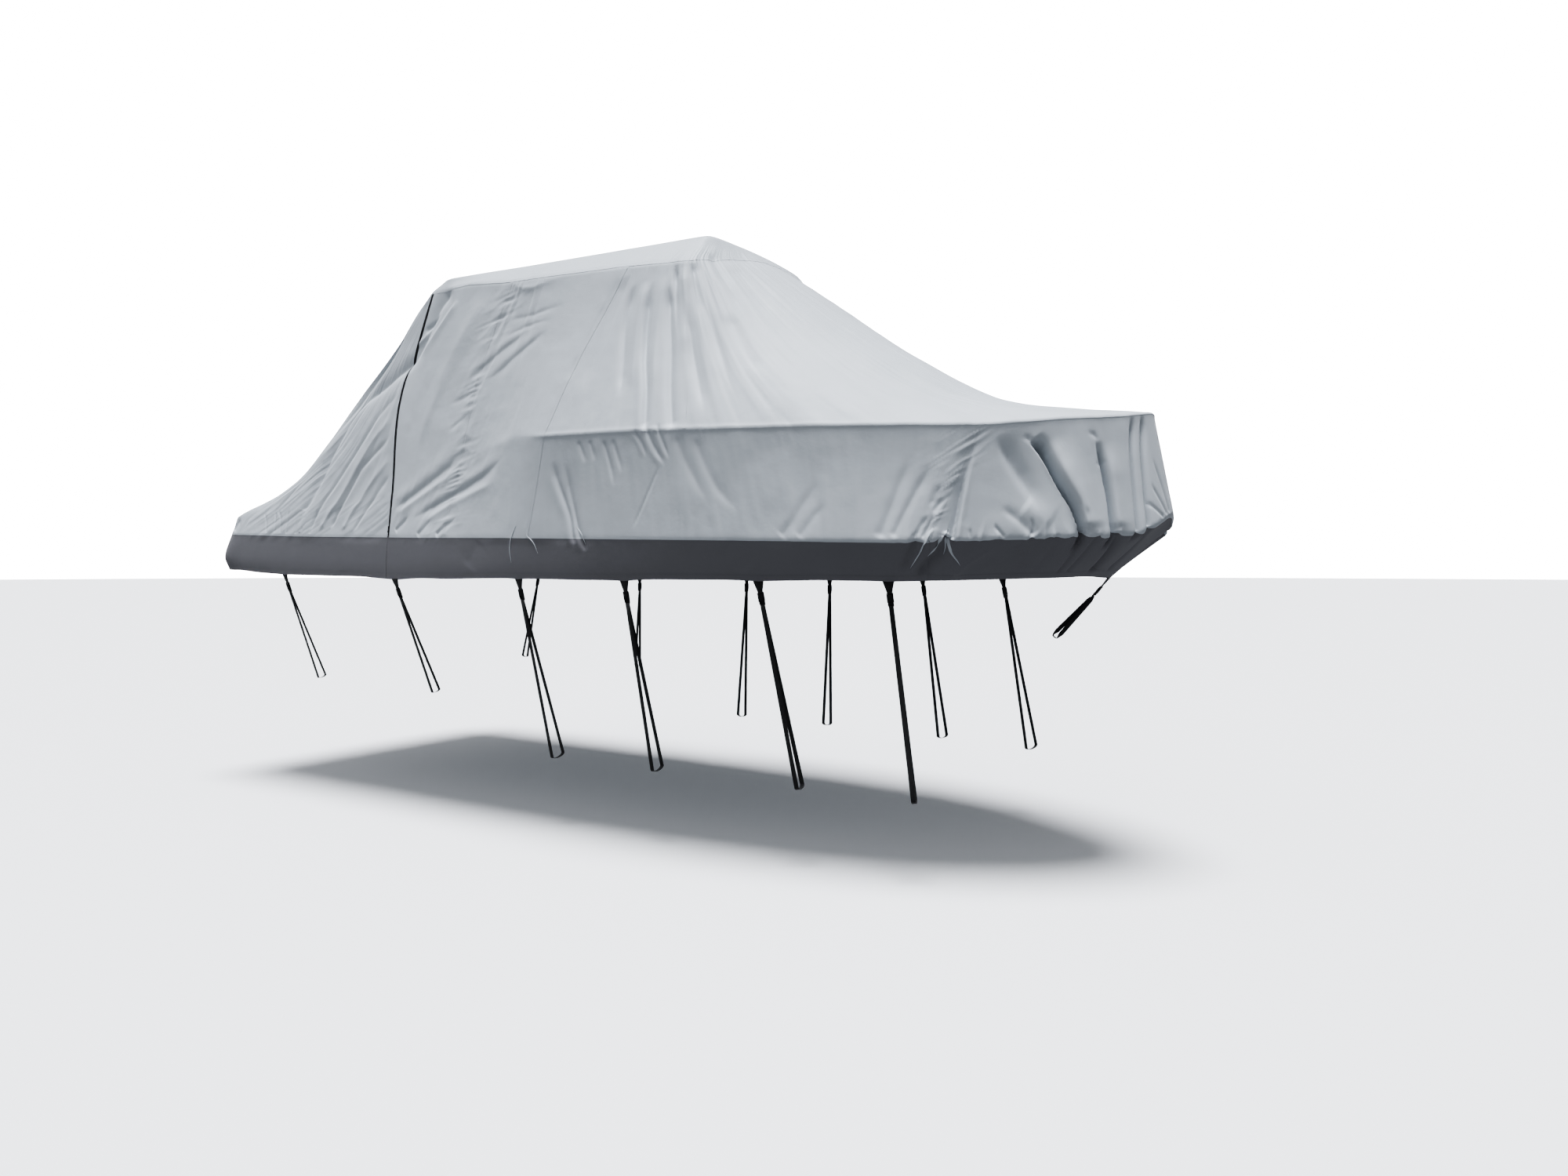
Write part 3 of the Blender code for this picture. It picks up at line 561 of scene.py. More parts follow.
# %% [markdown]
# ## One fine grid for the whole cloth
#
# A half of the cover is one array of points: columns from the stern's middle to the nose, rows from the
# middle of the roof down to the hem. Making every panel from this one array is what lets a fold run through
# a seam without a crack. The columns are closer where the folds are narrow, towards the bow.

# %% Columns and rows
ZIP_SHARE = 0.09
# from which loop, how many rows of the solids, and how many fine rows
ROWS = (("crown", 1, 12), ("shoulder", 3, 66), ("mid", 3, 56),
        ("edge", 4, 62), ("seam", 2, 16), ("belly", 1, 9))
ROOF_ROWS = 14
row_starts = accumulate((rows for _, rows, _ in ROWS), initial=0)
ROW_OF = dict(zip([loop for loop, _, _ in ROWS] + ["hem"], row_starts))
LEAST_STEPS, ZIP_STEPS = 4, 4


def column_numbers():
    """The station number of each fine column, with the zip's two edges among them."""
    numbers = []
    for i, station in enumerate(STATIONS[:-1]):
        run = np.array(STATIONS[i + 1].seam) - np.array(station.seam)
        count = max(LEAST_STEPS, round(np.linalg.norm(run) / station.spacing))
        steps = np.linspace(0, 1, count, endpoint=False)
        if station.name == "zip":
            steps = np.concatenate([np.linspace(0, ZIP_SHARE, ZIP_STEPS, endpoint=False),
                                    np.linspace(ZIP_SHARE, 1, count, endpoint=False)])
        numbers += list(i + steps)
    return np.array(numbers + [float(NOSE)])


def row_numbers():
    """The row number of each fine row: below 0 on the roof, 0 at its edge, and the solids' rows below."""
    numbers = list(np.linspace(-1, 0, ROOF_ROWS, endpoint=False))
    for loop, rows, count in ROWS:
        numbers += list(ROW_OF[loop] + rows * np.linspace(0, 1, count, endpoint=False))
    return np.array(numbers + [float(ROW_OF["hem"])])


U, R = column_numbers(), row_numbers()


def column(name):
    """The fine column of a section line."""
    return int(np.argmin(np.abs(U - STATION_NUMBER[name])))


def row(number):
    """The fine row of one of the solids' rows."""
    return int(np.argmin(np.abs(R - number)))


print("columns and rows of a half:", len(U), len(R))

# %% [markdown]
# The roof's edge and the shoulder turn over a hard edge with a small round, so those two loops are smoothed
# over a few centimetres of their own length. A cut in the table would stay a knife edge otherwise.

# %% Soft corners
CORNER_ROUND = {"crown": 0.030, "shoulder": 0.026}
STEP = 0.004


def rounded(points, reach):
    """A half loop smoothed over a reach in metres, as part of the whole loop that mirrors it."""
    whole = np.concatenate([(points * MIRROR)[:0:-1], points, (points * MIRROR)[-2::-1]])
    length = run_length(whole)
    even = np.arange(0, length[-1], STEP)
    line = line_at(even, length, whole)
    offsets = np.arange(-3 * reach, 3 * reach + STEP, STEP)
    weights = np.exp(-((offsets / reach) ** 2) / 2)
    weights /= weights.sum()
    soft = np.stack([np.convolve(one, weights, mode="same") for one in line.T], axis=1)
    own = length[len(points) - 1 : 2 * len(points) - 1]
    return line_at(own, even, soft)


loops = {loop: on_loop(loop, U) for loop in LOOPS}
for loop, reach in CORNER_ROUND.items():
    loops[loop] = rounded(loops[loop], reach)
print("loops:", ", ".join(loops))

# %% [markdown]
# Down a section line the cloth is straight or gently curved between its loops, and the band bellies out a
# little round the stern. The roof is ruled from its edge to a line along its middle. A few passes of
# averaging then round the turns over about three rows.

# %% The smooth loft
SPINE_AFT, SPINE_FORE = np.array([-0.70, 0.0, -0.0215]), np.array([0.70, 0.0, 0.0260])
BELLY_AT, BULGE_CENTRE, EDGE_PASSES = 0.65, 0.6, 4


def by_station(pairs):
    """A value for each column, from pairs of a station number and the value there."""
    return np.interp(U, *zip(*pairs))[:, None]


def spine_points():
    """The point of the roof's middle line that each column starts from."""
    spine_x = np.clip(loops["crown"][:, 0], SPINE_AFT[0], SPINE_FORE[0])
    spine_x[U <= STATION_NUMBER["stern corner"]] = SPINE_AFT[0]
    spine_x[U >= STATION_NUMBER["roof corner"]] = SPINE_FORE[0]
    share = ((spine_x - SPINE_AFT[0]) / (SPINE_FORE[0] - SPINE_AFT[0]))[:, None]
    return SPINE_AFT + share * (SPINE_FORE - SPINE_AFT)


def base_surface():
    """Points of the half with y positive: [column, row, xyz], before any fold."""
    shoulder, seam, hem = loops["shoulder"], loops["seam"], loops["hem"]
    outward = np.stack([hem[:, 0] - BULGE_CENTRE * shoulder[:, 0], hem[:, 1], 0 * hem[:, 0]], axis=1)
    bulge = MM * by_station([(number, station.bulge) for number, station in enumerate(STATIONS)])
    loops["belly"] = seam + BELLY_AT * (hem - seam) + bulge * unit(outward)
    stretches = {
        "crown": ("crown", "crown", "shoulder", "shoulder"),
        "shoulder": ("shoulder", "shoulder", "mid", "edge"),
        "mid": ("shoulder", "mid", "edge", "edge"),
        "edge": ("edge", "edge", "seam", "seam"),
        "seam": ("seam", "seam", "belly", "hem"),
        "belly": ("seam", "belly", "hem", "hem"),
    }
    spine = spine_points()
    rows = [spine + k / ROOF_ROWS * (loops["crown"] - spine) for k in range(ROOF_ROWS)]
    for loop, _, count in ROWS:
        before, start, end, after = (loops[name] for name in stretches[loop])
        rows += [smooth_between(before, start, end, after, k / count) for k in range(count)]
    return np.stack(rows + [hem], axis=1)


def metres_along(points, axis):
    """Metres from the first point along each column or row of the grid."""
    steps = np.linalg.norm(np.diff(points, axis=axis), axis=2)
    return np.cumsum(np.insert(steps, 0, 0, axis=axis), axis=axis)


base = base_surface()
for _ in range(EDGE_PASSES):
    base[:, 1:-1] = (base[:, :-2] + 2 * base[:, 1:-1] + base[:, 2:]) / 4
base[[0, -1], :, 1] = 0.0
DOWN = metres_along(base, 1)
DOWN -= DOWN[:, [row(0)]]
ALONG = metres_along(base, 0)
print("metres down the stern, the side and the nose:", DOWN[[0, column("puckered seam"), -1], -1].round(2))

# %% [markdown]
# Every fold and wrinkle is a height, measured straight out from the smooth cover. So each point needs its
# own outward direction, and that is the cross product of the grid's two directions there.


# %% Outward directions
def outward_of(points, side):
    """The outward direction at every point of a side."""
    normal = side * np.cross(np.gradient(points, axis=0), np.gradient(points, axis=1))
    size = np.linalg.norm(normal, axis=2, keepdims=True)
    normal = np.where(size > 1e-12, normal / np.maximum(size, 1e-12), (0.0, 0.0, 1.0))
    normal[:, 0] = (0.0, 0.0, 1.0)
    normal[[0, -1], :, 1] = 0.0
    return unit(normal)


surface = {side: base * (1, side, 1) for side in SIDES}
normals = {side: outward_of(surface[side], side) for side in SIDES}
print("outward at the middle of the starboard side:", normals[-1][column("edge end"), row(4)].round(2))

# %% [markdown]
# ## The hollow of the upright wall
#
# Below the edge line nothing holds the cloth out, so the wall hangs a little hollow. Its upper half then
# leans under, away from the light above. That is why the wall starts dark under the edge and pales towards
# the band.

# %% Hollow wall
HOLLOW = ((9.2, 0), (10.4, 8), (14.4, 8), (15.4, 6), (17.4, 6), (18.0, 3))  # station and millimetres
HOLLOW_HIGH = 0.75  # below 1, the deepest place is above the middle
wall_share = np.clip((R - ROW_OF["edge"]) / (ROW_OF["seam"] - ROW_OF["edge"]), 0, 1)
hollow = by_station(HOLLOW) * MM * np.sin(np.pi * wall_share**HOLLOW_HIGH)[None]
print("deepest hollow, mm:", round(hollow.max() * 1000, 1))

# %% [markdown]
# ## Folds, one by one
#
# A drape simulation would hang this cloth its own way, and not the way that it hangs in the picture. So
# each main fold is drawn as a line on the cover, through a few (station, row) points, with its depth and
# its width towards the stern and towards the bow. One side narrow and the other wide makes a crisp edge
# with a soft back, which is how a tucked fold looks, and a lip is the small ridge beside that crisp edge.
# Depth is outwards in millimetres, so a trough is negative. Spread is how much wider or narrower the fold
# ends. Power shapes its floor: 2 is a round trough, and 1 is a sharp crease. A fold is on the starboard
# side unless its row says otherwise. The stern isn't seen in the picture, and its folds are a guess.

# %% The fold table
STARBOARD, PORT, BOTH = -1, 1, 0
Fold = namedtuple("Fold", "depth aft fore line fade_in fade_out spread lip power side",
                  defaults=(0.2, 0.2, 1.0, 0, 1.6, STARBOARD))
FOLDS = [
    # the stern
    Fold(24, 90, 110, [(3.3, 1.5), (3.45, 4.0), (3.6, 6.6)], .3, .5, side=BOTH),
    Fold(-30, 40, 70, [(4.0, 1.2), (3.3, 2.6), (2.5, 4.6), (1.7, 6.6)], .25, .4, 1.2),
    Fold(-26, 36, 66, [(4.0, 1.2), (3.5, 2.4), (2.9, 4.2), (2.5, 6.4)], .25, .4, 1.2, side=PORT),
    Fold(-26, 44, 60, [(3.9, 1.2), (3.7, 3.0), (3.3, 5.0), (2.95, 6.9)], .25, .3, side=BOTH),
    Fold(-20, 50, 50, [(0.5, 1.3), (0.4, 4.0), (0.3, 6.8)], .3, .3),
    Fold(-22, 40, 60, [(1.2, 1.3), (1.1, 3.6), (0.9, 6.6)], .3, .3, side=PORT),
    Fold(-20, 36, 50, [(1.5, 1.2), (1.3, 3.0), (1.0, 5.0)], .3, .5),
    Fold(14, 50, 60, [(2.6, 1.2), (2.2, 3.0), (1.7, 5.0)], .3, .5, side=BOTH),
    Fold(-10, 24, 34, [(3.4, 7.4), (3.2, 9.0), (3.1, 10.6)], .3, .2, side=BOTH),
    Fold(-8, 20, 30, [(1.9, 7.4), (1.95, 9.0), (2.0, 10.6)], .3, .2, side=BOTH),
    # the fan from the roof's corner down to the stern corner
    Fold(-32, 70, 44, [(6.6, 1.0), (6.36, 1.5), (6.22, 2.5), (6.05, 2.95), (5.48, 3.0), (4.79, 2.95),
         (4.26, 3.05), (4.38, 3.75), (4.62, 4.7), (4.85, 5.9), (4.94, 7.5),
         (4.86, 10.3)], .05, .25, .6, 0, 1.4),
    Fold(14, 50, 60, [(4.9, 1.2), (4.3, 2.2), (4.0, 3.6), (4.0, 6.0)], .2, .4),
    Fold(9, 14, 34, [(6.85, 1.4), (6.6, 2.1), (6.27, 2.9)]),
    Fold(-12, 12, 16, [(6.44, 1.7), (6.12, 2.1)]),
    Fold(10, 14, 14, [(6.34, 2.0), (6.03, 2.5)]),
    Fold(-8, 30, 22, [(5.97, 3.7), (5.53, 4.1), (5.2, 6.2), (5.08, 10.6)], .2, .1, .6),
    Fold(9, 40, 24, [(5.97, 4.3), (5.58, 5.1), (5.35, 7.0), (5.2, 10.6)], .2, .1, .6),
    Fold(-11, 28, 20, [(5.97, 5.0), (5.52, 5.9), (5.33, 10.2)], .2, .1, .6),
    Fold(8, 40, 22, [(5.97, 5.7), (5.66, 6.8), (5.47, 10.6)], .2, .1, .6),
    Fold(-7, 24, 18, [(5.97, 6.3), (5.8, 7.0), (5.6, 10.6)], .2, .1, .6),
    # close creases at the fan's foot
    Fold(-3, 12, 14, [(4.15, 5.6), (4.3, 8.0), (4.42, 10.9)], .3, .05, .7),
    Fold(-3, 12, 14, [(4.3, 4.6), (4.45, 7.5), (4.55, 10.8)], .3, .05, .7),
    Fold(-3, 12, 12, [(4.3, 5.1), (4.54, 7.8), (4.65, 10.9)], .3, .05, .7),
    Fold(-3, 10, 12, [(4.64, 6.5), (4.74, 10.9)], .3, .05, .8),
    Fold(-3, 10, 14, [(4.88, 7.2), (4.89, 10.9)], .3, .05, .8),
    Fold(4, 10, 10, [(4.95, 6.5), (4.96, 10.8)], .3, .05, .8),
    Fold(-3, 10, 12, [(5.12, 7.4), (5.1, 10.9)], .3, .05, .8),
    # the quarter, from the zip to the puckered seam
    Fold(-11, 26, 44, [(8.1, 6.5), (7.4, 7.3), (6.8, 7.9), (6.15, 8.5)], .25, .2, .8, 4),
    Fold(8, 28, 34, [(8.15, 7.3), (7.2, 8.15), (6.2, 9.1)]),
    Fold(-12, 20, 44, [(8.9, 7.6), (8.5, 8.25), (8.1, 8.65), (7.45, 9.25), (6.9, 9.9)], .3, .3, .8, 4),
    Fold(7, 26, 30, [(8.8, 8.6), (8.0, 9.3), (7.3, 10.2)]),
    Fold(-8, 14, 24, [(8.2, 10.0), (7.81, 10.95)], .4, .05),
    Fold(-7, 14, 24, [(7.6, 9.8), (7.2, 10.95)], .4, .05),
    Fold(-7, 14, 22, [(6.8, 9.4), (6.3, 10.6)], .4, .1),
    Fold(9, 70, 70, [(7.5, 1.3), (7.2, 3.0), (6.9, 6.0)]),
    # the middle, round the upper part of the puckered seam
    Fold(8, 26, 30, [(7.9, 1.05), (8.6, 1.35), (9.3, 1.1)], .4, .4),
    Fold(-6, 16, 32, [(8.86, 2.9), (8.3, 3.4), (7.72, 4.05)], .3, .3, 1.0, 3),
    Fold(-6, 16, 36, [(9.25, 3.0), (8.7, 3.7), (8.2, 4.35)], .3, .3, 1.0, 3),
    Fold(-5, 10, 26, [(9.95, 4.05), (9.96, 5.1)], .4, .4),
    Fold(-4, 14, 18, [(9.4, 2.1), (8.9, 2.35), (8.2, 2.3)], .4, .4),
    Fold(-4, 12, 16, [(9.3, 2.65), (8.7, 2.75), (8.3, 2.9)], .4, .4),
    Fold(-4, 12, 14, [(8.4, 1.6), (7.9, 1.65)], .4, .4),
    Fold(-4, 12, 14, [(8.3, 2.1), (7.7, 2.3)], .4, .4),
    Fold(-4, 16, 16, [(8.2, 4.5), (7.4, 4.7)], .4, .4),
    Fold(-5, 14, 20, [(8.0, 5.3), (7.5, 5.7)], .4, .4),
    # the side under the roof's fore corner
    Fold(-10, 80, 60, [(10.1, 1.3), (10.15, 3.0), (10.35, 5.6)]),
    Fold(-17, 24, 36, [(10.45, 1.5), (10.56, 2.8), (10.8, 4.3), (11.02, 5.9)], .25, .2),
    Fold(9, 30, 30, [(10.75, 1.6), (10.85, 3.0), (11.2, 5.8)]),
    Fold(-22, 14, 28, [(10.9, 1.6), (10.96, 2.5), (11.18, 4.2), (11.38, 5.6),
         (11.5, 7.05)], .3, .06, 1.0, 5),
    Fold(9, 26, 26, [(11.25, 1.4), (11.3, 3.0), (11.52, 5.8)]),
    Fold(-25, 24, 32, [(11.42, 1.8), (11.5, 2.6), (11.65, 4.2), (11.75, 5.7), (11.85, 7.05)], .25, .06),
    Fold(-19, 14, 22, [(11.55, 1.1), (11.62, 2.0), (11.84, 4.2)], .3, .8, 1.0, 3),
    Fold(10, 22, 24, [(11.85, 1.2), (11.9, 2.6), (11.95, 4.4)]),
    Fold(-15, 14, 28, [(12.2, 1.05), (12.24, 1.6), (12.26, 3.6)], .35, .8, 1.0, 2),
    Fold(-20, 26, 38, [(11.84, 1.6), (11.92, 2.8), (12.0, 3.6), (12.17, 5.8), (12.22, 6.6)], .5, .4),
    Fold(-15, 26, 38, [(12.3, 1.6), (12.47, 3.3), (12.58, 6.2)], .5, .4),
    Fold(-8, 34, 44, [(12.9, 2.8), (13.0, 4.9)]),
    Fold(-15, 26, 50, [(13.2, .7), (13.26, 1.4), (13.36, 2.6)], .2, .5),
    Fold(-6, 60, 70, [(13.9, 1.2), (14.1, 2.6)]),
    # over the edge line and down the wall
    Fold(-11, 12, 18, [(11.5, 6.8), (11.62, 7.6), (11.77, 8.3)], .15, .3, .8, 4),
    Fold(-9, 9, 14, [(11.66, 6.8), (11.74, 7.5), (11.82, 8.1)], .15, .3, .8, 3),
    Fold(-8, 9, 12, [(11.36, 7.0), (11.47, 7.5), (11.53, 8.0)], .15, .3, .8, 3),
    Fold(-14, 16, 30, [(10.2, 8.0), (10.3, 8.8), (10.55, 10.2), (10.68, 11.5)], .3, .1, .8, 2),
    Fold(-14, 16, 30, [(10.4, 8.1), (10.5, 9.2), (10.72, 10.9), (10.82, 12.0)], .3, .15, .8, 2),
    Fold(-8, 12, 16, [(10.56, 7.3), (10.7, 8.15)], .1, .4),
    Fold(-7, 12, 14, [(10.73, 7.3), (10.83, 8.1)], .1, .4),
    Fold(-10, 12, 20, [(10.92, 7.3), (11.04, 8.2), (11.14, 9.1)], .1, .4),
    Fold(-8, 12, 16, [(11.06, 7.3), (11.23, 8.6)], .1, .4),
    Fold(-7, 24, 36, [(11.88, 7.2), (12.08, 8.7), (12.28, 9.9)], .1, .5),
    Fold(-7, 24, 36, [(12.08, 7.3), (12.32, 9.2), (12.56, 10.1)], .1, .5),
    Fold(-4, 8, 10, [(11.7, 8.3), (11.41, 10.7)]),
    Fold(-6, 26, 40, [(13.35, 8.8), (13.1, 9.9), (12.9, 10.9)], .4, .05),
    Fold(-5, 22, 30, [(13.45, 9.6), (13.1, 10.9)], .4, .05),
    Fold(-9, 24, 30, [(14.3, 8.0), (14.27, 9.6), (14.25, 10.9)], .3, .05),
    Fold(-9, 20, 26, [(14.6, 8.3), (14.52, 9.6), (14.45, 10.9)], .3, .05),
    # short puckers before the dart seam's foot
    Fold(-9, 14, 20, [(14.8, 9.0), (14.84, 9.9)], .4, .3),
    Fold(-10, 10, 14, [(14.93, 9.5), (14.9, 10.1)], .4, .3),
    Fold(-9, 12, 16, [(14.84, 10.1), (14.8, 10.6), (14.76, 10.95)], .3, .1),
    Fold(-9, 10, 14, [(14.97, 10.0), (14.92, 10.5), (14.9, 10.95)], .3, .1),
    Fold(7, 8, 10, [(14.98, 9.7), (14.96, 10.6)], .3, .3),
    # the bow, from the dart seam round to the nose
    Fold(-32, 44, 9, [(15.03, 7.5), (15.09, 9.1), (15.13, 9.9), (15.18, 11.1)], .5, .04, .8, 4, 1.25),
    Fold(-32, 30, 52, [(15.25, 7.4), (15.42, 8.1), (15.6, 9.0), (15.8, 10.3)], .4, .4, 1.0, 0, 1.8),
    Fold(-112, 8, 46, [(15.64, 7.72), (15.71, 7.95), (15.8, 8.4), (15.91, 9.25), (16.03, 10.25),
         (16.09, 11.0), (16.12, 12.4)], .22, .2, .5, 0, 2.0),
    Fold(42, 30, 120, [(15.76, 7.9), (15.84, 8.3), (15.94, 9.0), (16.05, 9.9), (16.12, 11.0)], .55, .1, .6),
    Fold(-9, 12, 16, [(15.52, 7.55), (15.62, 7.64), (15.71, 7.95)], .5, .4),
    Fold(-72, 8, 30, [(16.5, 7.7), (16.54, 8.6), (16.56, 9.6), (16.55, 10.9),
         (16.6, 12.0)], .3, .15, .6, 0, 2.0),
    Fold(22, 20, 80, [(16.57, 7.9), (16.61, 8.6), (16.63, 9.6), (16.62, 10.9)], .5, .1, .7),
    Fold(-7, 12, 14, [(16.36, 7.55), (16.48, 7.62), (16.54, 7.9)], .5, .4),
    Fold(-4, 7, 9, [(16.44, 8.62), (16.66, 8.55)]),
    Fold(8, 70, 70, [(15.62, 9.9), (15.85, 10.6)]),
    Fold(-10, 20, 28, [(15.45, 9.9), (15.6, 10.4), (15.73, 10.95)], .3, .05),
    Fold(-7, 9, 12, [(16.2, 10.0), (16.22, 10.95)], .3, .05),
    Fold(-40, 9, 17, [(17.25, 7.05), (17.1, 8.4), (16.97, 10.8), (16.96, 11.6)], .15, .25, side=BOTH),
    Fold(-52, 9, 20, [(17.53, 7.05), (17.35, 8.5), (17.21, 10.8), (17.2, 11.6)], .15, .25, side=BOTH),
    Fold(-9, 9, 12, [(17.6, 8.6), (17.74, 9.8), (17.84, 10.9)], .3, .05, side=BOTH),
    Fold(-8, 8, 10, [(17.25, 10.0), (17.6, 10.9)], .3, .05, side=BOTH),
    Fold(-7, 8, 10, [(17.42, 9.5), (17.72, 10.9)], .3, .05, side=BOTH),
    Fold(-9, 7, 12, [(15.42, 10.5), (15.47, 10.75), (15.52, 11.0)], .4, .1),
    Fold(-9, 7, 12, [(15.68, 10.3), (15.71, 10.65), (15.7, 11.0)], .4, .1),
    Fold(-6, 7, 10, [(15.26, 10.6), (15.29, 11.0)], .4, .1),
    # the dark band
    Fold(-34, 26, 40, [(15.14, 10.9), (15.08, 12.0), (14.98, 12.9), (14.86, 13.8)], .05, .2),
    Fold(16, 34, 30, [(15.5, 11.3), (15.3, 12.6), (15.2, 13.8)], .3, .2),
    Fold(9, 10, 10, [(14.98, 11.0), (14.86, 12.4)], .1, .5),
    Fold(-20, 22, 26, [(14.85, 10.9), (14.72, 12.2), (14.6, 13.6)], .1, .3),
    Fold(-7, 30, 34, [(15.6, 11.2), (15.7, 12.2), (15.75, 13.4)], side=BOTH),
    Fold(-6, 26, 30, [(15.9, 11.3), (15.87, 13.6)], side=BOTH),
    Fold(-10, 10, 14, [(16.15, 11.0), (16.2, 13.7)], .1, .1, side=BOTH),
    Fold(-9, 10, 14, [(16.33, 11.0), (16.38, 13.7)], .1, .1, side=BOTH),
    Fold(-28, 16, 26, [(16.62, 10.9), (16.8, 12.2), (16.98, 13.7)], .05, .05, side=BOTH),
    Fold(-12, 14, 20, [(17.3, 11.0), (17.45, 12.4), (17.5, 13.7)], .1, .1, side=BOTH),
    Fold(-4, 60, 70, [(8.6, 11.2), (8.4, 13.2)], side=BOTH),
    Fold(-4, 70, 60, [(12.4, 11.2), (12.6, 13.2)], side=BOTH),
]
print("folds drawn by hand:", len(FOLDS))

# %% [markdown]
# The picture shows one side only. Cloth that is cut alike hangs in like folds, but never in the same ones,
# so the other side gets each starboard fold again, shifted and with another depth, by a seeded random draw.

# %% Folds of the far side
FAR_SEED, FAR_SHIFT, FAR_ROW_SHIFT, LOWEST_ROW = 7, 0.16, 0.35, ROW_OF["hem"] - 0.2
draw = np.random.default_rng(FAR_SEED)
for fold in [fold for fold in FOLDS if fold.side == STARBOARD]:
    shift = draw.uniform(-FAR_SHIFT, FAR_SHIFT)
    drop = draw.uniform(-FAR_ROW_SHIFT, FAR_ROW_SHIFT)
    line = [(u + shift, min(r + drop, LOWEST_ROW)) for u, r in fold.line]
    FOLDS.append(fold._replace(side=PORT, depth=fold.depth * draw.uniform(0.6, 1.1), line=line))
print("folds in all:", len(FOLDS))

# %% [markdown]
# To press a fold in, every point near its line gets its distance from the line, and on which side it lies.
# The depth fades with that distance. The heights of all folds add up, as they do in real cloth.

# %% Pressing the folds in
FOLD_SAMPLES = 32
LIP_AT, LIP_WIDTH = 2.6, 2.0  # of the narrow side's width
FOLD_REACH, LIP_REACH = 2.6, 5  # widths, after which it is too slight to count


def place_on(points, u, r):
    """Points of a side at station and row numbers that lie between the grid's own lines."""
    c = np.interp(u, U, np.arange(len(U)))
    d = np.interp(r, R, np.arange(len(R)))
    i, j = np.minimum(c.astype(int), len(U) - 2), np.minimum(d.astype(int), len(R) - 2)
    a, b = (c - i)[:, None], (d - j)[:, None]
    return ((1 - a) * (1 - b) * points[i, j] + a * (1 - b) * points[i + 1, j]
            + (1 - a) * b * points[i, j + 1] + a * b * points[i + 1, j + 1])


def curve_through(line):
    """Station and row numbers along a smooth curve through a fold's points."""
    points = np.array(line, dtype=float)
    if len(points) == 2:
        t = np.linspace(0, 1, FOLD_SAMPLES)[:, None]
        return points[0] + t * (points[1] - points[0])
    padded = np.concatenate([points[:1], points, points[-1:]])
    per = max(4, FOLD_SAMPLES // (len(points) - 1))
    t = np.linspace(0, 1, per, endpoint=False)[:, None]
    runs = [smooth_between(*padded[k : k + 4], t) for k in range(len(points) - 1)]
    return np.concatenate(runs + [points[-1:]])


def press(side, heights, fold):
    """Adds one fold to a side's heights, in metres."""
    curve = curve_through(fold.line)
    line = place_on(surface[side], curve[:, 0], curve[:, 1])
    widest = max(fold.aft, fold.fore, LIP_REACH * min(fold.aft, fold.fore) * (fold.lip > 0))
    reach = FOLD_REACH * widest * max(1, fold.spread) * MM
    low, high = line.min(axis=0) - reach, line.max(axis=0) + reach
    near = np.nonzero(((surface[side] > low) & (surface[side] < high)).all(axis=2))
    points, facing = surface[side][near], normals[side][near]
    best = np.full(len(points), np.inf)
    share, ahead = np.zeros(len(points)), np.zeros(len(points))
    for k in range(len(line) - 1):
        run = line[k + 1] - line[k]
        part = np.clip((points - line[k]) @ run / max(run @ run, 1e-12), 0, 1)
        away = points - line[k] - part[:, None] * run
        size = np.linalg.norm(away, axis=1)
        nearer = size < best
        best[nearer] = size[nearer]
        share[nearer] = (k + part[nearer]) / (len(line) - 1)
        ahead[nearer] = side * (np.cross(run, facing[nearer]) * away[nearer]).sum(axis=1)
    taper = (1 + (fold.spread - 1) * share) * MM
    width = np.where(ahead > 0, fold.fore, fold.aft) * taper
    profile = fold.depth * np.exp(-((best / width) ** fold.power))
    if fold.lip:
        narrow = min(fold.aft, fold.fore) * taper
        off = np.where(ahead > 0, best, -best) * (1 if fold.fore < fold.aft else -1)
        profile += fold.lip * np.exp(-(((off - LIP_AT * narrow) / (LIP_WIDTH * narrow)) ** 2))
    fade = soft_step(share / fold.fade_in) * soft_step((1 - share) / fold.fade_out)
    heights[near] += MM * fade * profile


heights = {side: -hollow for side in SIDES}
for fold in FOLDS:
    for side in SIDES:
        if fold.side in (BOTH, side):
            press(side, heights[side], fold)
print("deepest and highest, mm:", [(round(h.min() * 1000), round(h.max() * 1000)) for h in heights.values()])

# %% [markdown]
# ## Slack and small wrinkles
#
# Between the main folds real cloth is never flat. Large soft waves are its slack. Smaller ones run the way
# it is pulled, so their pattern is stretched along that way. Both come from smooth lattice noise, a grid of
# random values with a seed of its own, blended between its points.

# %% Smooth noise
LATTICE, PRIMES = 8192, (73856093, 19349663, 83492791)


def ripple(seed, *axes):
    """Smooth noise from -1 to 1 at coordinates given in wavelengths, one array for each axis."""
    values = np.random.default_rng(seed).uniform(-1, 1, LATTICE)
    axes = np.broadcast_arrays(*axes)
    whole = [np.floor(axis).astype(np.int64) for axis in axes]
    part = [soft_step(axis - cell) for axis, cell in zip(axes, whole)]
    total = np.zeros(axes[0].shape)
    for corner in range(2 ** len(axes)):
        weight, key = np.ones(axes[0].shape), np.zeros(axes[0].shape, dtype=np.int64)
        for k, prime in enumerate(PRIMES[: len(axes)]):
            step = corner >> k & 1
            weight = weight * (part[k] if step else 1 - part[k])
            key = key ^ (whole[k] + step) * prime
        total += weight * values[key % LATTICE]
    return total


def between(values, low, high, soft):
    """1 between two values and 0 outside them, with a soft change."""
    return soft_step((values - low) / soft + 0.5) * soft_step((high - values) / soft + 0.5)


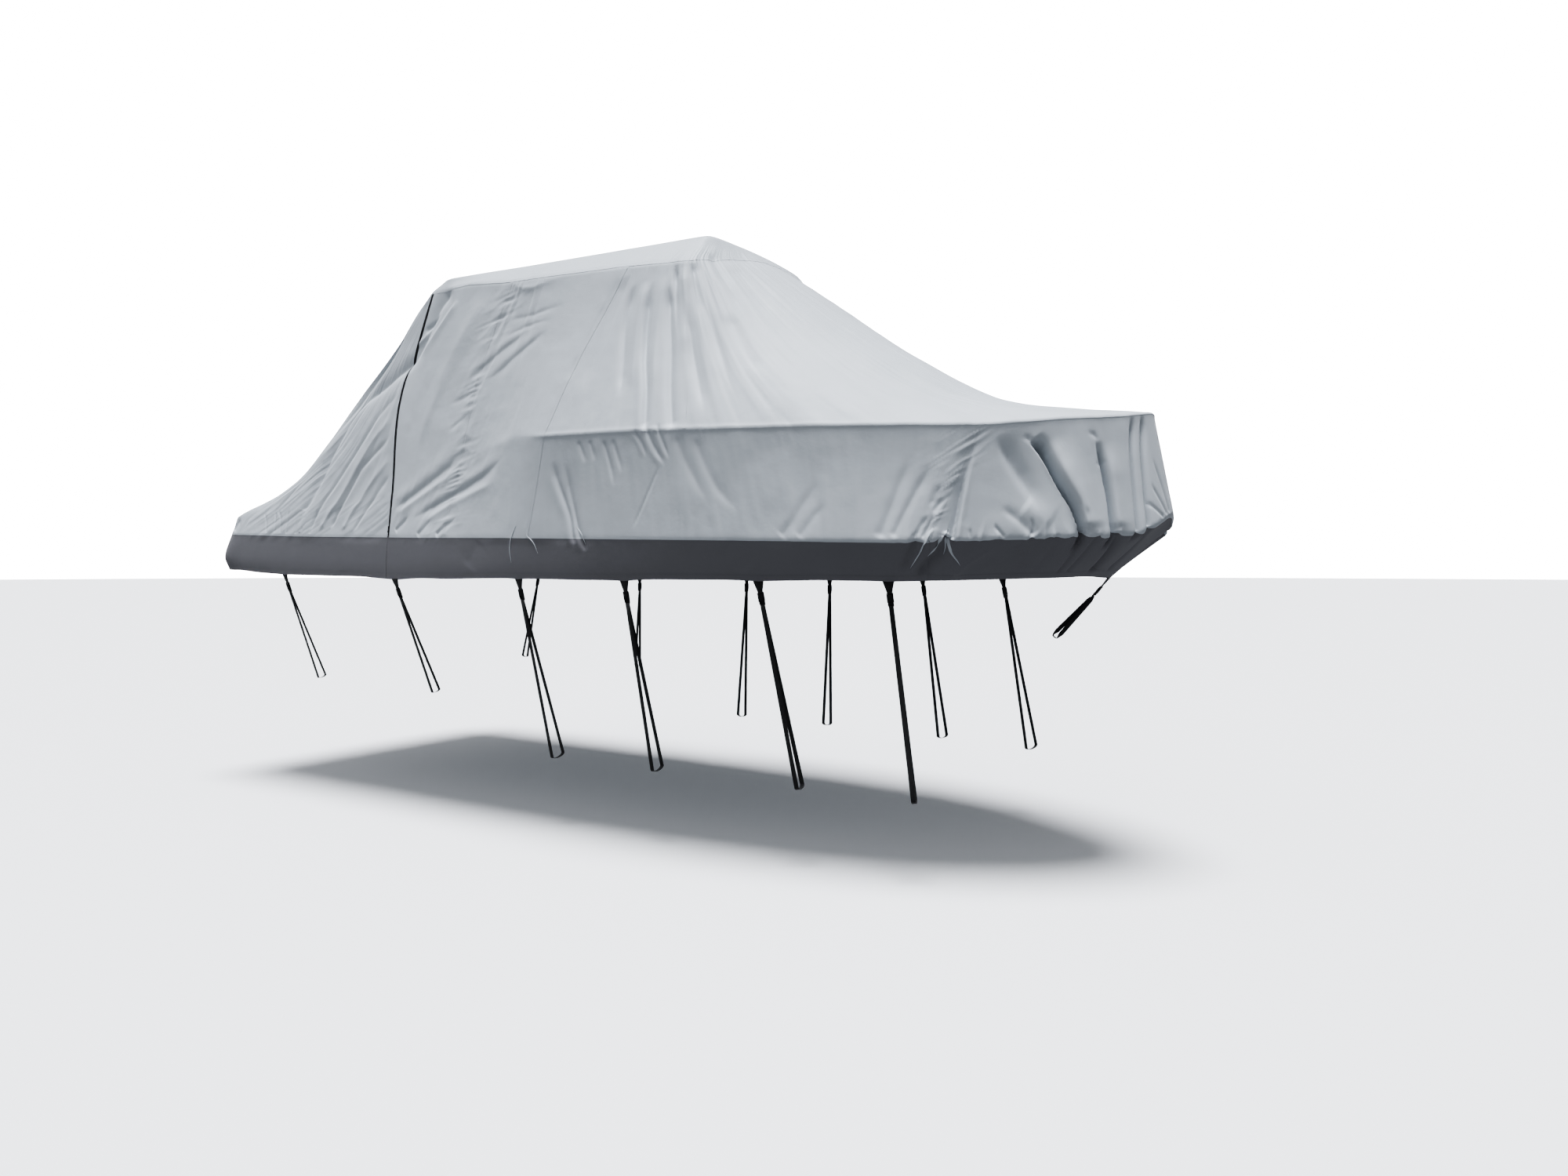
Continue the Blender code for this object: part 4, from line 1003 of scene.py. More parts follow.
LEAN = by_station(((0, 0), (4, -.10), (6, -.14), (8, -.20), (10, .06), (12, .05), (15, .10), (18, .0)))
SLACK = ((1, 0.006, 0.52), (2, 0.003, 0.23))  # seed, height and wavelength in metres
CRUMPLE = (3, 0.0010, 0.07)
PULLED = ((0, 0.0024, 0.085, 0.60), (1, 0.0012, 0.040, 0.30))  # with a wavelength across and one along
FIRST_SEED = {STARBOARD: 10, PORT: 20}
EDGE_LENGTH = ALONG[:, [row(ROW_OF["edge"])]]
METRES_PER_STATION = np.gradient(EDGE_LENGTH[:, 0], U)[:, None]


def soft_wave(side, seed, height, length):
    """Soft waves on a side that run no special way."""
    return height * ripple(seed, *(np.moveaxis(surface[side], 2, 0) / length))


fade = between(U, 0.5, NOSE - 0.25, 0.5)[:, None]
on_sides = between(R, 0.6, ROW_OF["seam"] + 0.4, 0.6)[None]
pulled = EDGE_LENGTH - LEAN * METRES_PER_STATION * (R[None] - ROW_OF["edge"])
for side, seed in FIRST_SEED.items():
    slack = sum(soft_wave(side, *numbers) for numbers in SLACK)
    fine = sum(height * ripple(seed + k, pulled / across, DOWN / along)
               for k, height, across, along in PULLED)
    heights[side] += slack * (0.35 + 0.65 * on_sides) + (fine * fade + soft_wave(side, *CRUMPLE)) * on_sides
print("height now, mm:", [(round(h.min() * 1000), round(h.max() * 1000)) for h in heights.values()])

# %% [markdown]
# ## Puckers along the seams
#
# A seam sewn a little tight gathers the cloth beside it in short wrinkles across the seam, each with a
# sharp crest. They are strongest on the seam of the quarter, on the dart seam at the bow and where the band
# is sewn on round the bow. The sharp crest comes from folding the soft noise at zero.

# %% Pucker table
Pucker = namedtuple("Pucker", "station rows height pitch reach aft")
PUCKERS = [
    Pucker("puckered seam", (1.4, 3.0), 6.0, 40, 110, 1.0),
    Pucker("puckered seam", (3.6, 11), 7.5, 32, 75, 1.0),
    Pucker("dart seam", (7, 8.8), 9.0, 36, 40, 2.2),
    Pucker("dart seam", (8.4, 11), 11.0, 34, 18, 1.8),
    Pucker("slanting seam", (1.2, 11), 1.0, 60, 60, 1.0),
    Pucker("roof corner", (1.2, 7), 1.0, 60, 60, 1.0),
    Pucker("zip", (1.5, 11), 1.6, 50, 60, 1.0),
]
Gather = namedtuple("Gather", "loop start end height pitch reach up")
GATHERS = [
    Gather("seam", 15.2, 17.0, 12.0, 46, 34, 1.3),
    Gather("seam", 17.0, NOSE, 6.0, 46, 34, 1.3),
    Gather("seam", 14.4, 15.3, 7.0, 40, 60, 1.5),
    Gather("seam", 4.0, 14.4, 1.8, 60, 45, 1.0),
    Gather("edge", 10.0, 12.4, 3.2, 42, 60, 0.4),
    Gather("edge", 12.4, 14.6, 1.2, 60, 60, 0.6),
    Gather("shoulder", 10.4, 12.6, 2.4, 60, 60, 0.3),
]
CREST = 0.75
SEED_OF_PUCKERS, SEED_OF_GATHERS = 60, 90


def crested(noise):
    """Noise with a sharp crest where it was zero."""
    return 1 - 2 * np.abs(noise) ** CREST


def gather_up(side, seed, height, reach, shrink, off, span, *axes):
    """Adds wrinkles that fade with the distance off a seam, sooner or later on its far side by shrink."""
    waves = crested(ripple(seed + (side > 0), *axes))
    reach = reach * MM * np.where(off < 0, shrink, 1.0)
    heights[side] += height * MM * waves * span * np.exp(-np.abs(off) / reach) / 2


for side in SIDES:
    for number, pucker in enumerate(PUCKERS):
        off = ALONG - ALONG[[column(pucker.station)]]
        gather_up(side, SEED_OF_PUCKERS + 2 * number, pucker.height, pucker.reach, pucker.aft, off,
                  between(R, *pucker.rows, 0.8)[None], DOWN / (pucker.pitch * MM) + off / 0.18, off / 0.13)
    for number, gather in enumerate(GATHERS):
        line = row(ROW_OF[gather.loop])
        off = DOWN - DOWN[:, [line]]
        gather_up(side, SEED_OF_GATHERS + 2 * number, gather.height, gather.reach, gather.up, off,
                  between(U, gather.start, gather.end, 0.4)[:, None],
                  ALONG[:, [line]] / (gather.pitch * MM) + 0 * off, off / 0.16)
print("puckers and gathers:", len(PUCKERS), len(GATHERS))

# %% [markdown]
# The two halves meet on the middle line at the stern and at the nose. Their heights are led to a common
# value over the last few columns, so that no crack or ridge is left there.

# %% Join the halves, and the cloth's own points
RIM_HEIGHT, RIM_REACH, LED_COLUMNS = 0.005, 0.016, 8
off = DOWN - DOWN[:, [row(ROW_OF["edge"])]]
rim = RIM_HEIGHT * np.exp(-((off / RIM_REACH) ** 2)) * between(U, 9.8, NOSE + 2, 0.8)[:, None]
for end, step in ((0, 1), (len(U) - 1, -1)):
    common = (heights[STARBOARD][end] + heights[PORT][end]) / 2
    for k in range(LED_COLUMNS):
        keep = soft_step(k / LED_COLUMNS)
        for side in SIDES:
            heights[side][end + step * k] = keep * heights[side][end + step * k] + (1 - keep) * common
cloth = {side: surface[side] + (heights[side] + rim)[..., None] * normals[side] for side in SIDES}
print("cloth points:", 2 * cloth[1].shape[0] * cloth[1].shape[1])

# %% [markdown]
# ## Tongues and scallops
#
# Where the gathered bow is sewn to the band, the seam itself isn't straight: the dark cloth pushes up in
# small round tongues. And the hem rises a little between one strap and the next. Both are moves along the
# cloth, which fade out away from the seam or the hem.

# %% Moves along the cloth
Tongue = namedtuple("Tongue", "side station rise half_width")
TONGUES = [
    Tongue(STARBOARD, 15.10, 26, 16), Tongue(STARBOARD, 15.47, 10, 16), Tongue(STARBOARD, 15.71, 14, 9),
    Tongue(STARBOARD, 15.86, 11, 20), Tongue(STARBOARD, 15.99, 10, 14), Tongue(STARBOARD, 16.36, 17, 9),
    Tongue(STARBOARD, 16.66, 18, 18), Tongue(PORT, 15.06, 20, 16), Tongue(PORT, 15.52, 12, 14),
    Tongue(PORT, 15.8, 10, 18), Tongue(PORT, 16.3, 15, 12), Tongue(PORT, 16.6, 16, 18),
]
TONGUE_REACH, SCALLOP, SCALLOP_REACH, WOBBLE = 0.040, 0.010, 0.075, 0.0022
SCALLOP_SHARE = ((0, .4), (3.2, .4), (4, 1), (13.6, 1), (15, .6), (17, .3), (18, .2))
STERN_STOP, ARCH = 3.2, 0.7  # where the stern's scallop ends, and how full a scallop is


def rise_along(side, rise):
    """Moves a side's points up along their own columns."""
    cloth[side] = cloth[side] + rise[..., None] * unit(-np.gradient(cloth[side], axis=1))


side_columns = np.arange(column("stern corner side"), len(U))
tab_at = [float(np.interp(strap.hem_x, base[side_columns, -1, 0], U[side_columns])) for strap in STRAPS]
stops = [0.0, STERN_STOP] + tab_at + [float(NOSE)]
arch = np.zeros(len(U))
for start, end in zip(stops[:-1], stops[1:]):
    inside = (U >= start) & (U <= end)
    arch[inside] = np.maximum(np.sin(np.pi * (U[inside] - start) / (end - start)), 0) ** ARCH
arch = arch[:, None] * by_station(SCALLOP_SHARE)
print("tabs at stations:", np.round(tab_at, 2))

# %% Move the seam and the hem
above_hem = DOWN[:, [-1]] - DOWN
off = DOWN - DOWN[:, [row(ROW_OF["seam"])]]
wobbled = WOBBLE * between(U, 15.0, NOSE - 0.1, 0.4)[:, None]
facing = {}
for side in SIDES:
    rise = wobbled * ripple(31 + side, EDGE_LENGTH / 0.035 + 0 * off)
    for tongue in TONGUES:
        if tongue.side == side:
            along = EDGE_LENGTH - np.interp(tongue.station, U, EDGE_LENGTH[:, 0])
            rise = rise + tongue.rise * MM * np.exp(-((along / (tongue.half_width * MM)) ** 2))
    uneven = 1 + 0.5 * ripple(35 + side, EDGE_LENGTH / 0.35)
    lift = SCALLOP * arch * uneven * np.exp(-above_hem / SCALLOP_REACH)
    rise_along(side, rise * np.exp(-((off / TONGUE_REACH) ** 2)) + lift)
    cloth[side][[0, -1], :, 1] = 0.0
    facing[side] = outward_of(cloth[side], side)
print("highest tongue, mm:", max(tongue.rise for tongue in TONGUES))

# %% [markdown]
# ## The finish of the light cloth
#
# It is a woven polyester with a soft coating: matt, a little blue, with the weave just showing up close.
# The creases from its storage bag stay in it as faint soft marks. Those are too slight for the mesh, so
# they are bump: fine noise for small dents, and wide ridged noise for the sharper lines of the creases. The
# band is the same kind of cloth in dark grey, without the coating and so a little duller.

# %% Grey polyester, woven
THREAD_MM = 1.6  # real threads are about 0.5 mm, drawn coarser so that they show in a close view


def woven(name, dark, light, roughness, sheen, crease):
    """A plain weave in metres of UV, with soft soiling and crease marks in metres of space."""
    made, tree, shader = new_material(name, roughness, 1.5, Sheen_Weight=sheen, Sheen_Roughness=0.5)
    coords = add_node(tree, "TexCoord")
    space, cloth_uv = coords.outputs["Object"], coords.outputs["UV"]
    threads = add_node(tree, "VectorMath", {"operation": "SCALE"}, Vector=cloth_uv,
                       Scale=math.pi / (THREAD_MM * MM))
    xyz = add_node(tree, "SeparateXYZ", Vector=threads)
    warp = add_node(tree, "Math", {"operation": "SINE"}, i0=xyz.outputs["X"])
    weft = add_node(tree, "Math", {"operation": "SINE"}, i0=xyz.outputs["Y"])
    over = add_node(tree, "Math", {"operation": "MULTIPLY"}, i0=warp, i1=weft)
    soil = add_node(tree, "TexNoise", Vector=space, Scale=2.2, Detail=4.0, Roughness=0.55)
    tone = add_node(tree, "Math", {"operation": "MULTIPLY_ADD"}, i0=over, i1=0.06, i2=soil)
    colour = add_node(tree, "Mix", {"data_type": "RGBA"}, i0=tone, i6=linear(dark), i7=linear(light))
    marks = add_node(tree, "TexNoise", Vector=space, Scale=14.0, Detail=5.0, Roughness=0.55)
    ridge = add_node(tree, "TexNoise", {"noise_type": "RIDGED_MULTIFRACTAL"}, Vector=space, Scale=3.2,
                     Detail=3.0, Roughness=0.4)
    creases = add_node(tree, "Math", {"operation": "MULTIPLY_ADD"}, i0=ridge, i1=crease, i2=marks)
    soft = add_node(tree, "Bump", Strength=1.0, Distance=0.0016, Height=creases)
    weave = add_node(tree, "Bump", Strength=0.25, Distance=0.0003, Height=over, Normal=soft)
    plug(tree, shader, Base_Color=colour.outputs[2], Normal=weave)
    return made


cover_cloth = woven("polyester_woven_coated_light_grey", "#B8BEC3", "#C8CED3", 0.58, 0.12, 0.25)
band_cloth = woven("polyester_woven_dark_grey", "#737377", "#7D7D82", 0.72, 0.10, 0.25)
print("threads in a centimetre, as drawn:", round(10 / THREAD_MM, 1))

# %% [markdown]
# ## Cutting the panels
#
# A panel is a block of the fine grid. At its lower edge and at its edge towards the bow it laps one step
# over its neighbour, as a lapped seam does: it stands a little proud there and its cut edge is turned down.
# A seam then shows as a real step that catches the light.

# %% Panels
LAP_PROUD, LAP_EASE = 0.0014, (0.0, 0.35, 0.8)
HEM_TURN_ROWS, HEM_TURN_OFF = 3, 0.0022
EDGE_OUT, HEM_EDGE_OUT, HEM_FULL = 0.0002, -0.4, 0.0008
WELDS_PER_METRE = 1e5  # points within 0.01 mm become one


def block(side, start, end, top, foot, laps, sink=0.0):
    """Points, directions and UVs of a block of the grid with its laps, and which of the points are used."""
    aft, fore, down, hem = (word in laps for word in ("aft", "fore", "down", "hem"))
    columns = [start] * aft + list(range(start, end + 1)) + [end + 1] * 2 * fore
    rows = list(range(top, foot + 1)) + [foot + 1] * 2 * down
    lift_c, lift_r = np.zeros(len(columns)), np.zeros(len(rows))
    for lift, lapped, count in ((lift_c, fore, end - start + aft), (lift_r, down, foot - top)):
        if lapped:
            lift[count - 2 : count + 1] = np.array(LAP_EASE) * LAP_PROUD
            lift[count + 1 :] = (LAP_PROUD, EDGE_OUT)
    if aft:
        lift_c[:3] = (EDGE_OUT, LAP_PROUD, 0.5 * LAP_PROUD)
    lift = lift_c[:, None] + lift_r[None] - sink
    if hem:
        last = rows[-1]
        rows += [last, last] + [last - k for k in range(1, HEM_TURN_ROWS + 1)]
        turn = np.concatenate([[HEM_EDGE_OUT, -1.0], -np.ones(HEM_TURN_ROWS)]) * HEM_TURN_OFF
        lift = np.concatenate([lift, np.broadcast_to(turn, (len(columns), len(turn)))], axis=1)
    grid = np.ix_(columns, rows)
    points = cloth[side][grid] + lift[..., None] * facing[side][grid]
    if hem:
        points[:, -HEM_TURN_ROWS - 2, 2] -= HEM_FULL
    uv = np.stack([np.broadcast_to(EDGE_LENGTH[columns] * side, points.shape[:2]), DOWN[grid]], axis=-1)
    used = np.ones(points.shape[:2], dtype=bool)
    if fore and down:
        used[-2:, -2:] = False
    return points, facing[side][grid], uv, used


def panel(name, material, slot, node, blocks):
    """One piece of cloth from its blocks, welded where they meet. Returns it with its area."""
    points, directions, uvs, quads, count = [], [], [], [], 0
    for side, *part in blocks:
        block_points, block_facing, uv, used = block(side, *part)
        c, r = block_points.shape[:2]
        index = np.arange(c * r).reshape(c, r) + count
        corners = np.stack([index[:-1, :-1], index[:-1, 1:], index[1:, 1:], index[1:, :-1]], axis=-1)
        found = corners[used[:-1, :-1] & used[:-1, 1:] & used[1:, 1:] & used[1:, :-1]]
        quads.append(found if side < 0 else found[:, ::-1])
        points.append(block_points.reshape(-1, 3))
        directions.append(block_facing.reshape(-1, 3))
        uvs.append(uv.reshape(-1, 2))
        count += c * r
    points, directions, uvs, quads = (np.concatenate(a) for a in (points, directions, uvs, quads))
    keys = np.round(points * WELDS_PER_METRE).astype(np.int64)
    _, first, same = np.unique(keys, axis=0, return_index=True, return_inverse=True)
    welded = [list(dict.fromkeys(face)) for face in same.reshape(-1)[quads].tolist()]
    faces = [face for face in welded if len(face) > 2]
    piece = add_piece(name, points[first], faces, material, slot, uvs[first])
    piece.data.normals_split_custom_set_from_vertices(directions[first].tolist())
    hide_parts(node)
    area = sum(polygon.area for polygon in piece.data.polygons)
    triangles = sum(len(face) - 2 for face in faces)
    print(f"{name}: {triangles} triangles, {area:.2f} square metres")
    return piece, area


# %% Cut them out
ZIP, ZIP_FORE = column("zip"), int(np.argmin(np.abs(U - STATION_NUMBER["zip"] - ZIP_SHARE)))
PUCKERED, SLANT, CORNER, DART, LAST = (
    column(name) for name in ("puckered seam", "slanting seam", "roof corner", "dart seam", "nose"))
TOP = 0
SHOULDER, EDGE, SEAM, HEM = (row(ROW_OF[loop]) for loop in ("shoulder", "edge", "seam", "hem"))
LIGHT, DARK = (cover_cloth, "cover_cloth"), (band_cloth, "band_cloth")
Cut = namedtuple("Cut", "cloth finish node start end top foot laps flat")
WHOLE_CUTS = [
    Cut("roof_cloth", LIGHT, "roof_panel", 0, LAST, TOP, SHOULDER, "down", (2.30, 2.25)),
    Cut("stern_cloth", LIGHT, "stern_panel", 0, ZIP, SHOULDER, SEAM, "fore down", (6.40, 2.90)),
    Cut("front_cloth", LIGHT, "front_panel", CORNER, LAST, SHOULDER, EDGE, "down", (3.30, 2.80)),
    Cut("bow_wall_cloth", LIGHT, "bow_wall", DART, LAST, EDGE, SEAM, "down", (3.20, 0.75)),
    Cut("stern_band_cloth", DARK, "band_stern", 0, ZIP, SEAM, HEM, "fore hem", (6.50, 0.36)),
    Cut("bow_band_cloth", DARK, "band_bow", DART, LAST, SEAM, HEM, "hem", (3.00, 0.45)),
]
for cut in WHOLE_CUTS:
    blocks = [(side, cut.start, cut.end, cut.top, cut.foot, cut.laps) for side in SIDES]
    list(panel(cut.cloth, *cut.finish, cut.node, blocks))
PLAIN = "fore down"
for side, side_name in SIDES.items():
    start, laps = (ZIP_FORE, f"aft {PLAIN}") if side == STARBOARD else (ZIP, PLAIN)
    for cut in (
        Cut("quarter_cloth", LIGHT, "quarter_panel", start, PUCKERED, SHOULDER, SEAM, laps, (0.90, 2.10)),
        Cut("middle_cloth", LIGHT, "middle_panel", PUCKERED, SLANT, SHOULDER, SEAM, PLAIN, (1.10, 1.95)),
        Cut("side_cloth", LIGHT, "side_panel", SLANT, CORNER, SHOULDER, EDGE, PLAIN, (1.10, 1.25)),
        Cut("wall_cloth", LIGHT, "wall_panel", SLANT, DART, EDGE, SEAM, PLAIN, (2.80, 0.72)),
        Cut("band_cloth", DARK, "band", ZIP, DART, SEAM, HEM, "fore hem", (3.90, 0.34)),
    ):
        name, node = f"{cut.cloth}_{side_name}", f"{cut.node}_{side_name}"
        blocks = [(side, cut.start, cut.end, cut.top, cut.foot, cut.laps)]
        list(panel(name, *cut.finish, node, blocks))

# %% [markdown]
# ## The zip
#
# A closed coil zip: two woven tapes under the cloth's edges and a coil of nylon wire between them, with a
# slider at its foot. The tape is one more block of the grid, sunk a little. A real coil has a turn every
# 2 mm and is about 7 mm wide. Here it has one every 5 mm and is about twice as wide, so that it still shows
# from afar. Each turn is a small arch across the tape.
#
# The coil's wire is drawn nylon, smooth enough for a small glint on each turn. The slider is cast zinc with
# a black coat that is worn grey here and there.

# %% Black nylon and black zinc
nylon = speckled("nylon_zip_coil_moulded", 0.42, 1.53, 120.0, 3.0, "#101114", "#1E1F25")
zinc = speckled("zinc_slider_die_cast_black", 0.35, 1.5, 300.0, 4.0, "#1A1A1D", "#3C3C40", Metallic=0.6)
ZIP_PITCH, TURN_WIDE, TURN_HIGH, TURN_LONG = 0.005, 0.0136, 0.0034, 0.0038
TAPE_SINK, TAPE_WIDTH = 0.0012, 0.030
print("turns a metre, as drawn:", round(1 / ZIP_PITCH))

# %% Zip
SPOT_STEP, ZIGZAG, ARCH_POINTS = 0.002, 0.0005, 7
TURN_RINGS = [(-0.5, 0.75), (0.0, 1.0), (0.5, 0.75)]  # where along a turn, and how big there
tape, _ = panel("zip_tape", webbing, "zip", "zip_starboard",
                [(STARBOARD, ZIP, ZIP_FORE, SHOULDER, SEAM, "", TAPE_SINK)])
down_zip = slice(SHOULDER, SEAM + 1)
zip_line = cloth[STARBOARD][ZIP + 2, down_zip]
zip_up = facing[STARBOARD][ZIP + 2, down_zip]
zip_length = run_length(zip_line)
at = np.arange(ZIP_PITCH, zip_length[-1] - ZIP_PITCH, ZIP_PITCH)
spots, ups = line_at(at, zip_length, zip_line), line_at(at, zip_length, zip_up)
runs = unit(line_at(at + SPOT_STEP, zip_length, zip_line) - line_at(at - SPOT_STEP, zip_length, zip_line))
asides = np.cross(ups, runs)
arch = [(math.cos(a), math.sin(a)) for a in np.linspace(0, math.pi, ARCH_POINTS)]
shift = np.where(np.arange(len(at)) % 2, ZIGZAG, -ZIGZAG)[:, None]
coil = np.stack([
    spots + asides * (shift + TURN_WIDE / 2 * c * size) + runs * TURN_LONG * place
    + ups * (TURN_HIGH * s * size - TAPE_SINK) for place, size in TURN_RINGS for c, s in arch], axis=1)
quad = np.array([0, 1, ARCH_POINTS + 1, ARCH_POINTS])
turn_faces = [quad + r * ARCH_POINTS + k for r in range(2) for k in range(ARCH_POINTS - 1)]
faces = [(face + turn * coil.shape[1]).tolist() for turn in range(len(at)) for face in turn_faces]
add_piece("zip_coil", coil.reshape(-1, 3), faces, nylon, "zip")
print("turns:", len(at), "zip length, metres:", round(zip_length[-1], 2))

# %% Slider
SLIDER_AT, SLIDER_ROUND = 0.06, 0.0006  # above the foot of the zip, and the round of its edges
SLIDER_BLOCKS = [  # in millimetres: across, out and down, each from and to
    (-6.0, 6.0, 1.4, 4.4, -9.0, 9.0), (-2.2, 2.2, 4.0, 6.6, -5.0, 4.0),
    (-3.4, -1.8, 4.6, 6.2, 2.0, 34.0), (1.8, 3.4, 4.6, 6.2, 2.0, 34.0),
    (-3.4, 3.4, 4.6, 6.2, 2.0, 4.4), (-4.2, 4.2, 4.4, 6.4, 28.0, 36.0),
]
spot = np.array([zip_length[-1] - SLIDER_AT])
centre = line_at(spot, zip_length, zip_line)[0]
up = unit(line_at(spot, zip_length, zip_up)[0])
down = unit(line_at(spot + 0.01, zip_length, zip_line)[0] - centre)
turn = np.array([np.cross(up, down), up, down])
points, faces = rounded_blocks(SLIDER_BLOCKS, SLIDER_ROUND)
slider = add_piece("zip_slider", centre + points @ turn, faces, zinc, "zip")
slider.data.set_sharp_from_angle(angle=SHARP_ANGLE)
print("slider above the zip's foot, metres:", SLIDER_AT)

# %% [markdown]
# ## Stitches along the seams
#
# Each lapped seam is sewn twice, 6 mm apart. Real stitches are 4 mm long. These are every 9 mm and as thick
# as cord, so that a close view shows them and a far one isn't full of specks. They are geometry.

# %% Seam stitches
SEAM_PITCH, SEAM_SCALE, ABOVE_LAP = 0.009, 1.3, 0.0009
ACROSS_BACKS, DOWN_BACKS, HEM_BACKS = (0.25, 0.8), (0.2, 0.9), (0.3, 0.9)  # of a step before the seam's line
pale_thread = speckled("polyester_thread_grey", 0.6, 1.5, 600.0, 2.0, "#989DA3", "#B9BDC2", Sheen_Weight=0.2)


def sewn(side, columns, rows, backs):
    """Rows of stitches along a line of the grid. Either columns or rows is a number."""
    c, r = np.broadcast_arrays(columns, rows)
    before = (c - 1, r) if np.ndim(rows) else (c, r - 1)
    normals = facing[side][c, r]
    on_line, before_it = cloth[side][c, r], cloth[side][before]
    lines = [(1 - back) * on_line + back * before_it + ABOVE_LAP * normals for back in backs]
    return [stitches(line, normals, SEAM_PITCH, SEAM_SCALE) for line in lines]


light_parts, dark_parts = [], []
whole = np.arange(0, LAST + 1)
for side in SIDES:
    for line, columns in ((SHOULDER, whole), (EDGE, whole[SLANT:]), (SEAM, whole)):
        light_parts += sewn(side, columns, line, ACROSS_BACKS)
    for line, top, foot in ((ZIP, SHOULDER, SEAM), (PUCKERED, SHOULDER, SEAM), (SLANT, SHOULDER, SEAM),
                            (CORNER, SHOULDER, EDGE), (DART, EDGE, SEAM)):
        light_parts += sewn(side, line, np.arange(top, foot), DOWN_BACKS)
    dark_parts += sewn(side, whole, HEM - HEM_TURN_ROWS, HEM_BACKS)
add_piece("seam_stitches", *joined(light_parts), pale_thread, "cover_cloth")
add_piece("hem_stitches", *joined(dark_parts), thread, "band_cloth")
print("stitches:", sum(len(points) for points, _ in light_parts + dark_parts) // 5)

# %% [markdown]
# Where the gathered light cloth is sewn down, small folds of it slip over the band, as pale slivers that
# end in a point. Each is a narrow strip of the same cloth that follows the cover's own surface.

# %% Slivers over the band
Tuck = namedtuple("Tuck", "side width line")
TUCKS = [
    Tuck(STARBOARD, 26, [(15.0, 10.5), (14.96, 11.0), (14.88, 11.9), (14.74, 13.1)]),
    Tuck(STARBOARD, 24, [(15.11, 10.6), (15.07, 11.5), (15.0, 12.25)]),
    Tuck(STARBOARD, 15, [(15.12, 10.8), (15.13, 11.7), (15.12, 12.2)]),
    Tuck(STARBOARD, 24, [(15.12, 10.6), (15.17, 11.9), (15.25, 12.8)]),
    Tuck(STARBOARD, 12, [(9.42, 10.6), (9.24, 11.0), (9.13, 11.9), (9.22, 12.9)]),
    Tuck(STARBOARD, 10, [(9.92, 10.6), (10.08, 11.3), (10.16, 12.2)]),
    Tuck(STARBOARD, 11, [(10.66, 10.6), (10.76, 10.9), (10.81, 11.5)]),
    Tuck(PORT, 14, [(15.0, 10.6), (14.93, 11.4), (14.8, 12.9)]),
    Tuck(PORT, 11, [(15.12, 10.7), (15.16, 11.7), (15.22, 12.5)]),
]
SLIVER_THICK, SLIVER_TIP, SLIVER_TILT, SLIVER_OFF, SLIVER_POINT = 0.0022, 0.0016, 1.0, 0.0012, 0.7
for number, tuck in enumerate(TUCKS):
    curve = curve_through(tuck.line)
    line = place_on(cloth[tuck.side], curve[:, 0], curve[:, 1])
    up = place_on(facing[tuck.side], curve[:, 0], curve[:, 1])
    across = unit(np.cross(np.gradient(line, axis=0), up + SLIVER_TILT * np.array([0, 0, 1])))
    share = np.linspace(0, 1, len(line))
    widths = np.maximum(tuck.width * MM * (1 - share) ** SLIVER_POINT * soft_step(4 * share), SLIVER_TIP)
    points, faces, uv = sweep(line + SLIVER_OFF * up, across, widths, SLIVER_THICK)
    add_piece(f"sliver_{number + 1}", points, faces, cover_cloth, "cover_cloth", uv)
print("slivers:", len(TUCKS))

# %% [markdown]

# %% [markdown]
# ## Floor, backdrop and light
#
# The picture's light comes from high up: what faces up is bright, the upright wall is a calm mid grey, and
# what a fold turns down falls dark. So the key lamp is nearly overhead, a little to starboard, and a weak
# second lamp from starboard and the stern lifts the folds' other sides. A sun lamp with a wide angle is
# such a soft light, and it is as strong on the far floor as near by. The floor and the white backdrop are
# seen by the camera only, so they don't fill the shadows of the folds from below. The high contrast look
# keeps those shadows deep.

# %% Floor and backdrop
GROUND = -3.66
FLOOR_REACH, BACKDROP_RADIUS = 160.0, 150.0
BACKDROP_SIDES, BACKDROP_HEIGHT, BACKDROP_PEAK, BACKDROP_STRENGTH = 48, 90.0, 144.0, 6.0


def stage_piece(name, vertices, faces, material):
    """A piece of the stage, which only the camera sees, apart from the shadow that falls on it."""
    piece = add_object(name, new_mesh(name, vertices, faces))
    piece.data.materials.append(material)
    for kind in ("diffuse", "glossy", "transmission", "shadow"):
        setattr(piece, f"visible_{kind}", False)


